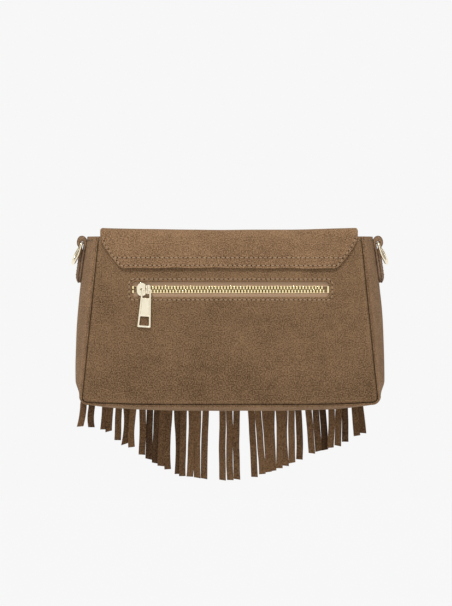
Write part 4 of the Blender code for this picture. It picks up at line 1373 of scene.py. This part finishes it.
def makeSlider():
    upper = [(x * mm, z * mm) for x, z in slider["outline"]]
    outline = rounded(upper + [(x, -z) for x, z in reversed(upper[1:-1])])
    place = zipPlane @ Matrix.Translation((slider["x"], 0, 0))
    dimple = arc(-0.6 * mm, 0, slider["dimple"], 0, 360, 20)[:-1]
    front, rear, edge = slider["frontInner"], slider["rearInner"], slider["plateEdge"]
    pieces = [plate("sliderFront", [outline, dimple], slider["front"], front, edge, paleGold, place),
              plate("sliderRear", [outline], rear, slider["rear"], edge, paleGold, place)]
    for side in (1, -1):
        flange = [(x * mm, side * z * mm) for x, z in slider["flange"]][::side]
        for near, far in ((front - edge, slider["flangeFront"]), (slider["flangeRear"], rear + edge)):
            pieces.append(plate("flange", [flange], near, far, 0.1 * mm, paleGold, place))
    web = [(x * mm, z * mm) for x, z in slider["web"]]
    pieces.append(plate("web", [web], front - 0.2 * mm, rear + 0.2 * mm, 0.05 * mm, paleGold, place))
    foot = slider["front"] + 0.5 * mm
    radius, x, pivot = slider["bridgeRadius"], slider["bridgeX"], slider["pivot"]
    path = [(x, foot, -radius)]
    path += [(x, pivot - radius * math.cos(math.radians(a)) * 0.78, radius * math.sin(math.radians(a)))
             for a in range(-90, 91, 10)]
    path.append((x, foot, radius))
    pieces.append(tube("bridge", [place @ Vector(p) for p in path], slider["bridgeWire"], paleGold, False))
    return merged("sliderMetal", pieces)


sliderMetal = makeSlider()
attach(sliderMetal, "slider_body")
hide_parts("slider")


# Puller: a tapered frame round an eye, a sunk plate and a window
puller = {
    "length": 32.5 * mm,
    "topHalf": 4.0 * mm,
    "footHalf": 5.6 * mm,
    "half": 0.7 * mm,
    "rim": 1.6 * mm,
    "eye": 6.4 * mm,
    "plate": 13.4 * mm,
    "bar": 1.0 * mm,
    "corner": 1.0 * mm,
    "lean": math.radians(3.7),
    "edge": 0.28 * mm,
    "sunk": 0.4 * mm,
    "windowCorner": 0.5 * mm,
}


# A four-sided outline with round corners
def taperedOutline(top, foot, high, low, r, steps):
    return (arc(top - r, high - r, r, 0, 90, steps) + arc(-top + r, high - r, r, 90, 180, steps)
            + arc(-foot + r, low + r, r, 180, 270, steps) + arc(foot - r, low + r, r, 270, 360, steps))


# The frame's inside between two heights below its top
def pullerWindow(start, end, grow=0.0):
    top, foot = (mix(puller["topHalf"], puller["footHalf"], below / puller["length"]) - puller["rim"] + grow
                 for below in (start, end))
    high, low = puller["rim"] / 2 - start + grow, puller["rim"] / 2 - end - grow
    return taperedOutline(top, foot, high, low, puller["windowCorner"], 4)


def makePuller():
    rim, bar = puller["rim"], puller["bar"]
    eyeEnd = rim + puller["eye"]
    plateEnd = eyeEnd + bar + puller["plate"]
    outline = taperedOutline(puller["topHalf"], puller["footHalf"], rim / 2, rim / 2 - puller["length"],
                             puller["corner"], 6)
    place = (zipPlane @ Matrix.Translation((slider["x"] + slider["bridgeX"], slider["pivot"], 0))
             @ Matrix.Rotation(puller["lean"], 4, "Y"))
    holes = [pullerWindow(rim, eyeEnd), pullerWindow(eyeEnd + bar, plateEnd),
             pullerWindow(plateEnd + bar, puller["length"] - rim)]
    half, edge = puller["half"], puller["edge"]
    surround = plate("surround", [outline] + holes, -half, half, edge, paleGold, place)
    sunk = plate("sunkPlate", [pullerWindow(eyeEnd + bar, plateEnd, 0.4 * mm)], -half + puller["sunk"],
                 half - 0.1 * mm, 0.08 * mm, paleGold, place)
    return merged("pullerMetal", [surround, sunk])


pullerMetal = makePuller()
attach(pullerMetal, "puller_body")
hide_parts("puller")
print("zip made")


# Ring tabs: a strap folded round the ring's bar, both leaves sewn down the gusset; and the D rings
ring = {
    "wire": 1.25 * mm,
    "half": 9.2 * mm,
    "reach": 18.5 * mm,
    "corner": 2.5 * mm,
    "lean": math.radians(24),
    "twist": math.radians(7),        # the bow is bent a little out of the bar's plane
}
tab = {
    "half": 7.0 * mm,
    "layer": 2.25 * mm,
    "room": 2.3 * mm,
    "press": 0.1 * mm,               # the sewn leaves press into the nap of the strip
    "drop": 33.0 * mm,
    "corner": 4.5 * mm,
    "closeZ": -3.7 * mm,             # the leaves part above this, round the ring's bar
    "loopHalf": 2.9 * mm,
    "loopTop": 4.0 * mm,
    "loopSide": 2.9 * mm,
    "loopThick": 4.9 * mm,
    "skive": 0.5,                    # the leaves are pared to this share of their thickness at their ends
    "skiveLength": 6.0 * mm,
    "sewInset": 2.0 * mm,
    "sewPitch": 3.0 * mm,
    "sewLength": 2.2 * mm,
    "sewRadius": 0.3 * mm,
    "edgeSteps": [v * mm for v in (0, 0.12, 0.3, 0.6, 1.0)],
}
pivotX = 123.28 * mm                 # of the right ring


# The strap's middle line on the right, from the inner leaf's end round the bar to the outer leaf's end,
# with the strap's half thickness along it
def tabLine():
    zs = joined([-tab["drop"] + v for v in tab["edgeSteps"]],
                spaced(-tab["drop"] + tab["edgeSteps"][-1], tab["closeZ"], 1.2 * mm))
    line = [(gussetOuter(z) - tab["press"] + tabHalf(z), z, tabHalf(z)) for z in zs]
    x, side, top = pivotX - 0.04 * mm, tab["loopHalf"], tab["loopTop"]
    for a in range(200, -35, -10):
        c, d = math.cos(math.radians(a)), math.sin(math.radians(a))
        thick = mix(tab["loopSide"], tab["loopThick"], max(d, 0) ** 2) / 2
        line.append((x + side * c, top * d if d > 0 else side * 1.3 * d, thick))
    line += [(tabFace(z) - tabHalf(z), z, tabHalf(z)) for z in reversed(zs)]
    return relaxed(line, 4)


# Half a leaf's thickness, and the face of the outer leaf
def tabHalf(z):
    fromEnd = z + tab["drop"]
    return tab["layer"] / 2 * mix(tab["skive"], 1.0, min(max(fromEnd / tab["skiveLength"], 0.0), 1.0) ** 0.6)


def tabFace(z):
    return gussetOuter(z) - tab["press"] + 4 * tabHalf(z) + tab["room"] - tab["layer"]


# A line whose inner points are drawn toward their neighbours
def relaxed(line, rounds):
    for _ in range(rounds):
        line = ([line[0]] + [tuple((a + 2 * b + c) / 4 for a, b, c in zip(*near))
                             for near in zip(line, line[1:], line[2:])] + [line[-1]])
    return line


def makeTab(side, word):
    strap = tabLine()
    line = [Vector((side * x, z)) for x, z, _ in strap]
    halves = [half for _, _, half in strap]
    outerRows, innerRows, uvRows, along = [], [], [], 0.0
    for i, point in enumerate(line):
        before, after = line[max(i - 1, 0)], line[min(i + 1, len(line) - 1)]
        tangent = (after - before).normalized()
        out = Vector((-tangent.y, tangent.x)) * side
        along += (point - before).length
        rest = sum((b - a).length for a, b in zip(line[i:], line[i + 1:]))
        near = min(along, rest)
        half = tab["half"] - turnedEdge(near, tab["corner"])
        first, inner = tab["edgeSteps"][:-1], half - tab["edgeSteps"][-1]
        ys = ([-half + v for v in first] + spaced(-inner, inner, inner / 6)
              + [half - v for v in reversed(first)])
        outerRow, innerRow = [], []
        for y in ys:
            sunk = turnedEdge(min(half - abs(y), near + 0.02 * mm), 0.8 * mm)
            for row, sign in ((outerRow, 1), (innerRow, -1)):
                place = point + out * sign * (halves[i] - sunk)
                row.append(Vector((place.x, y, place.y)))
        outerRows.append(outerRow)
        innerRows.append(innerRow)
        uvRows.append([(y, along) for y in ys])
    piece = shell("tabSuede" + word, outerRows, innerRows, [suedeTab, cutEdge], None, uvRows)
    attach(piece, "bag")
    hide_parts("ring_tab_" + word.lower())
    paths = []
    for y in (-1, 1):
        zs = spaced(-tab["drop"] + 2.6 * mm, -8 * mm, 1.2 * mm)
        paths.append([Vector((side * tabFace(z), y * (tab["half"] - tab["sewInset"]), z)) for z in zs])
    stitchRows("tabStitches" + word, paths, "bag", Pitch=tab["sewPitch"], Length=tab["sewLength"],
               Radius=tab["sewRadius"])


def makeRing(side, word):
    corner, half = ring["corner"], ring["half"]
    straight = ring["reach"] - half
    right = ([(half - corner, 0.0)] + arc(half - corner, -corner, corner, 90, 0, 8)[1:]
             + arc(0, -straight, half, 0, -90, 20))
    path = right + [(-y, z) for y, z in reversed(right[:-1])]
    twist = side * math.tan(ring["twist"])
    place = Matrix.Translation((side * pivotX, 0, 0)) @ Matrix.Rotation(-side * ring["lean"], 4, "Y")
    points = [place @ Vector((y * twist * smooth(0, -7 * mm, z), y, z)) for y, z in path]
    piece = tube("ringMetal" + word, points, ring["wire"], paleGold)
    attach(piece, "ring_" + word.lower() + "_body")
    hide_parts("d_ring_" + word.lower())


for side, word in ((-1, "Left"), (1, "Right")):
    makeRing(side, word)
    makeTab(side, word)
print("tabs and rings made")


# Linings: an open sack in the bag and a flat one behind the zip
lining = {
    "topZ": 5.5 * mm,
    "footZ": -131.3 * mm,
    "wall": 0.7 * mm,
    "fromSeam": 1.4 * mm,
    "fromPanel": 1.9 * mm,
    "behindPocket": 6.4 * mm,        # how far it lies from the back panel where the pocket hangs between
    "footRound": 7 * mm,
    "corner": 5 * mm,
    "wave": 1.2 * mm,
}
pocket = {
    "topZ": -21.9 * mm,
    "footZ": -93.4 * mm,
    "half": 95.5 * mm,
    "halfDepth": 1.6 * mm,
    "corner": 1.5 * mm,
    "wall": 0.35 * mm,
    "fromPlane": 4.45 * mm,
    "wave": 0.3 * mm,
}


def roundedRing(halfX, halfY, radius, middle):
    ringLine = []
    for sx, sy, start in ((1, 1, 0), (-1, 1, 90), (-1, -1, 180), (1, -1, 270)):
        ringLine += arc(sx * (halfX - radius), middle + sy * (halfY - radius), radius, start, start + 90, 6)
    dense = []
    for (ax, ay), (bx, by) in zip(ringLine, ringLine[1:] + ringLine[:1]):
        steps = max(1, round(math.hypot(bx - ax, by - ay) / (3 * mm)))
        dense += [(mix(ax, bx, k / steps), mix(ay, by, k / steps)) for k in range(steps)]
    return dense


# A sack whose levels say the height, half width, half depth and middle of each ring, with its corners as
# on the top one; swell is the share of the gusset's bulge that its sides follow
def sackPiece(name, levels, corner, wall, solid, wave, cloth, swell=0.0):
    outer, inner, uvRows = [], [], []
    topZ, topHalf, topDepth, topMiddle = levels[0]
    shape = roundedRing(topHalf, topDepth, corner, topMiddle)
    for z, halfX, halfY, middle in levels:
        outerRow, innerRow, uvRow = [], [], []
        for x, y in shape:
            u, v = x / topHalf, (y - topMiddle) / topDepth
            soft = wave * wander(x + y * 1.7, z, 26 * mm, 6.1) * smooth(topZ, topZ - 20 * mm, z)
            deep = halfY - abs(soft)
            y = middle + v * deep
            out = swell * gussetBulge(z) * smooth(0.85, 1.0, abs(u)) * (1 - abs(y / halfDepth(z)) ** 2.2)
            out = math.copysign(out, u)
            floor = wall * 0.5 * (z < topZ - mm)
            outerRow.append(Vector((u * halfX + out, y, z)))
            innerRow.append(Vector((u * (halfX - wall) + out, middle + v * (deep - wall), z + floor)))
            uvRow.append((x, z + y))
        outer.append(outerRow)
        inner.append(innerRow)
        uvRows.append(uvRow)
    piece = shell(name, outer, inner, [cloth], None, uvRows, sack=True)
    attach(piece, "bag")
    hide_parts(solid)
    return piece


def liningLevels():
    levels, near, r = [], lining["fromPanel"], lining["footRound"]
    for z in joined(spaced(lining["topZ"], -20 * mm, 2.5 * mm), spaced(-20 * mm, -126 * mm, 4 * mm),
                    spaced(-126 * mm, lining["footZ"], 1.2 * mm)):
        behind = mix(near, lining["behindPocket"], smooth(4 * mm, -22 * mm, z))
        front, back = halfDepth(z) - near, halfDepth(z) - behind - bag["gap"]
        narrow = lining["fromSeam"] + r - math.sqrt(max(r * r - max(lining["footZ"] + r - z, 0) ** 2, 0))
        levels.append((z, seamHalfWidth(z) - narrow, (front + back) / 2, (front - back) / 2))
    return levels


def pocketLevels():
    return [(z, pocket["half"], pocket["halfDepth"], pocket["fromPlane"] - halfDepth(z))
            for z in spaced(pocket["topZ"], pocket["footZ"], 4 * mm)]


sackPiece("mainLining", liningLevels(), lining["corner"], lining["wall"], "lining",
          lining["wave"], liningCloth, 0.9)
sackPiece("pocketSack", pocketLevels(), pocket["corner"], pocket["wall"], "pocket_lining",
          pocket["wave"], pocketCloth)


# Snap: a socket on the front panel and a stud under the flap, each turned from radii and heights in mm
snap = {
    "socket": [(0.8, -0.38), (6.7, -0.38), (7.0, -0.2), (7.0, 0.1), (6.6, 0.3), (5.8, 0.34), (5.4, 0.12),
               (3.4, 0.08), (3.1, -0.2), (0.8, -0.2)],
    "stud": [(0.5, -0.38), (6.7, -0.38), (7.0, -0.2), (7.0, 0.1), (6.6, 0.28), (4.6, 0.3), (4.2, 0.1),
             (3.0, 0.08), (2.7, 0.34), (0.5, 0.38)],
    "steps": 48,
}


def lathe(name, profile, place, material):
    verts, faces, steps = [], [], snap["steps"]
    for radius, height in profile:
        for i in range(steps):
            a = 2 * math.pi * i / steps
            verts.append(place @ Vector((radius * math.cos(a), height, radius * math.sin(a))))
    for r in range(len(profile) - 1):
        for i in range(steps):
            j = (i + 1) % steps
            faces.append([r * steps + i, r * steps + j, (r + 1) * steps + j, (r + 1) * steps + i])
    faces += [list(range(steps)), [(len(profile) - 1) * steps + i for i in range(steps)]]
    return solidMesh(name, verts, faces, [material], sharp=35)


def snapPiece(name, solid, body, profile, sign, slope):
    low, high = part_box(solid)
    middle = [(a + b) / 2 for a, b in zip(low, high)]
    place = Matrix.Translation(middle) @ Matrix.Rotation(slope, 4, "X") @ Matrix.Scale(sign, 4, (0, 1, 0))
    piece = lathe(name, [(r * mm, h * mm) for r, h in profile], place, paleGold)
    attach(piece, body)
    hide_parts(solid)


leafTilt = math.atan2(flap["footY"] - flap["frontY"], flap["arcZ"] - flap["footZ"])
snapPiece("snapSocket", "snap_socket", "bag", snap["socket"], 1, zipper["tilt"])
snapPiece("snapStud", "snap_stud", "flap_body", snap["stud"], -1, leafTilt)
print("linings and snap made")


# Studio: floor, even light from all round, and two soft suns from above the camera
paper = {
    "back": 0.930,                   # what the camera and mirrors see
    "fill": 0.62,                    # what lights the bag
    "floorZ": -400 * mm,
    "floorSize": 16000 * mm,
}
suns = {                             # strength, spread in degrees and the way that the light goes
    "keySun": (1.62, 9, (0.24, 0.52, -0.84)),
    "sideSun": (0.45, 40, (-0.75, 0.55, -0.35)),
}
card = {"x": 1.3, "near": -1.6, "far": 0.3, "low": -0.38, "high": 1.0}


# One for rays that see the background itself or through metal and glass
def rayKind(tree):
    rays = node(tree, "ShaderNodeLightPath").outputs
    seen = maths(tree, "MAXIMUM", rays["Is Camera Ray"], rays["Is Glossy Ray"])
    return maths(tree, "MAXIMUM", seen, rays["Is Transmission Ray"])


world = bpy.data.worlds.new("studio")
world.use_nodes = True
bpy.context.scene.world = world
sky = world.node_tree
sky.nodes["Background"].inputs["Color"].default_value = (1, 1, 1, 1)
level = node(sky, "ShaderNodeMapRange", Value=rayKind(sky), To_Min=paper["fill"], To_Max=paper["back"])
sky.links.new(level.outputs[0], sky.nodes["Background"].inputs["Strength"])


for name, (strength, spread, direction) in suns.items():
    lamp = bpy.data.lights.new(name, "SUN")
    lamp.energy = strength
    lamp.angle = math.radians(spread)
    sun = addObject(name, lamp)
    sun.rotation_euler = Vector(direction).to_track_quat("-Z", "Y").to_euler()


# Dark cards on both sides of the bag, which only the polished metal mirrors
def makeCards():
    low, high = card["low"], card["high"]
    verts = []
    for x, first, last in ((-card["x"], card["near"], card["far"]), (card["x"], card["far"], card["near"])):
        verts += [(x, first, low), (x, last, low), (x, last, high), (x, first, high)]
    mesh = bpy.data.meshes.new("studioCards")
    mesh.from_pydata(verts, [], [(0, 1, 2, 3), (4, 5, 6, 7)])
    material, _, shader = newMaterial("cardDark")
    setInputs(shader, Base_Color=(0.20, 0.14, 0.08, 1), Roughness=1.0)
    mesh.materials.append(material)
    cards = addObject("studioCards", mesh)
    cards.visible_camera = cards.visible_diffuse = cards.visible_shadow = cards.visible_transmission = False


makeCards()


def makeFloor():
    size = paper["floorSize"] / 2
    mesh = bpy.data.meshes.new("studioFloor")
    corners = [(x * size, y * size, paper["floorZ"]) for x, y in ((-1, -1), (1, -1), (1, 1), (-1, 1))]
    mesh.from_pydata(corners, [], [(0, 1, 2, 3)])
    material, tree, shader = newMaterial("floorPaper")
    setInputs(shader, Base_Color=(0.9, 0.9, 0.9, 1), Roughness=0.9)
    glow = node(tree, "ShaderNodeEmission", Color=(1, 1, 1, 1), Strength=paper["back"])
    blend = node(tree, "ShaderNodeMixShader", in1=shader.outputs[0], in2=glow.outputs[0])
    camera = times(tree, node(tree, "ShaderNodeLightPath").outputs["Is Camera Ray"], 0.97)
    tree.links.new(camera, blend.inputs[0])
    tree.links.new(blend.outputs[0], tree.nodes["Material Output"].inputs["Surface"])
    mesh.materials.append(material)
    addObject("studioFloor", mesh)


makeFloor()
print("studio lit")


# The picture spans this width on the plane of the bag's back, which the photo was measured on
cameraAt = {
    "x": -3.3 * mm,
    "z": -49.8 * mm,
    "distance": 7000 * mm,
    "planeY": -28 * mm,
    "spans": 375.16 * mm,
    "sensor": 36,
}
camera = addObject("camera", bpy.data.cameras.new("camera"))
camera.location = (cameraAt["x"], -cameraAt["distance"], cameraAt["z"])
camera.rotation_euler = (math.pi / 2, 0, 0)
camera.data.sensor_fit = "HORIZONTAL"
camera.data.sensor_width = cameraAt["sensor"]
camera.data.lens = cameraAt["sensor"] * (cameraAt["distance"] + cameraAt["planeY"]) / cameraAt["spans"]
camera.data.clip_end = 50
bpy.context.scene.camera = camera
bpy.context.scene.view_settings.view_transform = "Standard"
